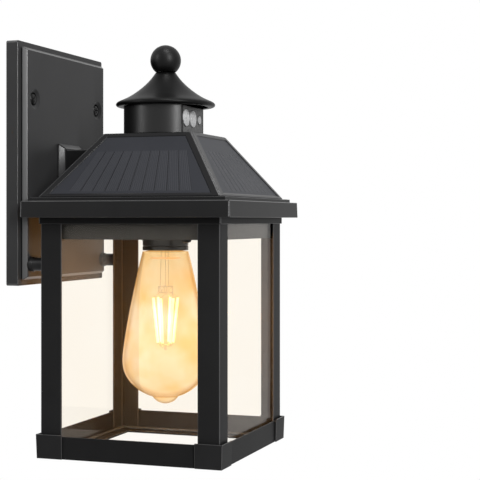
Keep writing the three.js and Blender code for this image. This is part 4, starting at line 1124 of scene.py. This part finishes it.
cone_outline = [
    (3.2, 68.7), (6.9, 68.7), (7.5, 68.45), (8.9, 66.4), (10.8, 63.9), (12.8, 61.6), (15.1, 59.35),
    (17.6, 57.1), (20.3, 54.95), (23.5, 52.65), (26.9, 50.5), (29.7, 49.05), (32.4, 47.85),
    (34.7, 46.85), (36.1, 46.0), (36.75, 45.1), (36.85, 44.4), (36.4, 43.5), (35.5, 43.0),
    (34.2, 42.9), (31.4, 42.9), (31.35, 45.3), (29.0, 47.4), (22.0, 51.6), (15.0, 57.0),
    (9.5, 63.0), (6.2, 66.8), (3.2, 67.1),
]
cone_paint = powder_coat("cone_paint", level=0.001, rough=0.4, sheen=0.1)
cone = turned(cone_outline, 96, AXIS)
painted("Cone", cone, cone_paint, "cone_cap", sharp=50, even=False)

dress(zinc, "centre_rod", "rod_nut")

BALL_R, BALL_Z = 11.4, 77.67
ball_outline = [(3.2, 69.02), (7.3, 69.02), (7.75, 69.25), (7.6, 69.62)]
for i in range(30):
    turn = math.radians(-46 + 136 * i / 29)
    ball_outline.append((BALL_R * math.cos(turn), BALL_Z + BALL_R * math.sin(turn)))
ball_outline[-1] = (0, BALL_Z + BALL_R)
ball_outline += [(0, 82), (3.2, 81.8)]
ball_paint = powder_coat("ball_paint", level=0.001, rough=0.42, sheen=0.16)
ball = turned(ball_outline, 72, AXIS)
piece("Finial", ball, ball_paint, "finial", ["finial"], "black_paint", sharp=50, even=False)


# ---------------------------------------------------------------- Studio
# A plain white floor and surround, soft lamps on both sides and overhead, and the bulb's own
# warm light. The camera stands level with the lantern, a little in front of its left side.

floor_form = turned([(1500, -560), (1500, -555)], 96, AXIS, wrap=False)
floor_form.transform(Matrix.Scale(0.001, 4))
floor = object_from(floor_form, "floor")


def seen(finish):
    """1 where the camera, a reflection or glass sees the surface, 0 for other light."""
    rays = ("Is Camera Ray", "Is Glossy Ray", "Is Transmission Ray")
    camera, glossy, clear = (finish.add("ShaderNodeLightPath", out=ray) for ray in rays)
    return camera.most(glossy).most(clear)


pale = Finish("pale_floor")
flat = pale.add("ShaderNodeBsdfDiffuse", sockets={"Color": grey(0.8)})
bright = pale.add("ShaderNodeEmission", sockets={"Color": grey(1), "Strength": 1.0})
both = pale.add("ShaderNodeMixShader", sockets={0: seen(pale) * 0.9, 1: flat, 2: bright})
floor.data.materials.append(pale.done(both))

surround = Finish("surround", surround=True)
shine = seen(surround) * 0.75 + 0.25
backdrop = surround.add("ShaderNodeBackground", sockets={"Color": grey(1), "Strength": shine})
bpy.context.scene.world = surround.done(backdrop)


def softbox(name, at, toward, wide, high, power):
    lamp = bpy.data.lights.new(name, "AREA")
    lamp.shape, lamp.size, lamp.size_y = "RECTANGLE", wide, high
    lamp.energy = power
    holder = set_down(name, lamp)
    holder.location = at
    holder.rotation_euler = (Vector(toward) - Vector(at)).to_track_quat("-Z", "Y").to_euler()


middle = (0, AXIS_Y / 1000, -0.03)
softbox("lamp_front", (-0.75, -1.08, 0.5), middle, 0.08, 0.9, 20)
softbox("lamp_side", (-0.85, 0.8, 0.5), middle, 0.16, 0.8, 6)
softbox("lamp_top", (-0.35, -0.35, 1.2), middle, 0.35, 0.5, 9)

bulb_light = bpy.data.lights.new("bulb_light", "POINT")
bulb_light.energy, bulb_light.color, bulb_light.shadow_soft_size = 2.1, (1.0, 0.56, 0.22), 0.012
bulb_lamp = set_down("bulb_light", bulb_light)
bulb_lamp.location = (0, AXIS_Y / 1000, -0.118)
bulb_lamp.visible_camera = False
bulb_lamp.visible_glossy = False
bulb_lamp.visible_transmission = False

eye = Vector((-0.8895, -0.4652, -0.0411))
heading = math.radians(19.32)
ahead = Vector((math.cos(heading), math.sin(heading), 0))
camera_data = bpy.data.cameras.new("camera")
camera_data.lens, camera_data.sensor_width = 97.05, 36.0
camera_data.shift_y = -0.0408
camera = set_down("camera", camera_data)
camera.location = eye
camera.rotation_euler = ahead.to_track_quat("-Z", "Y").to_euler()
bpy.context.scene.camera = camera
bpy.context.scene.view_settings.view_transform = "Standard"
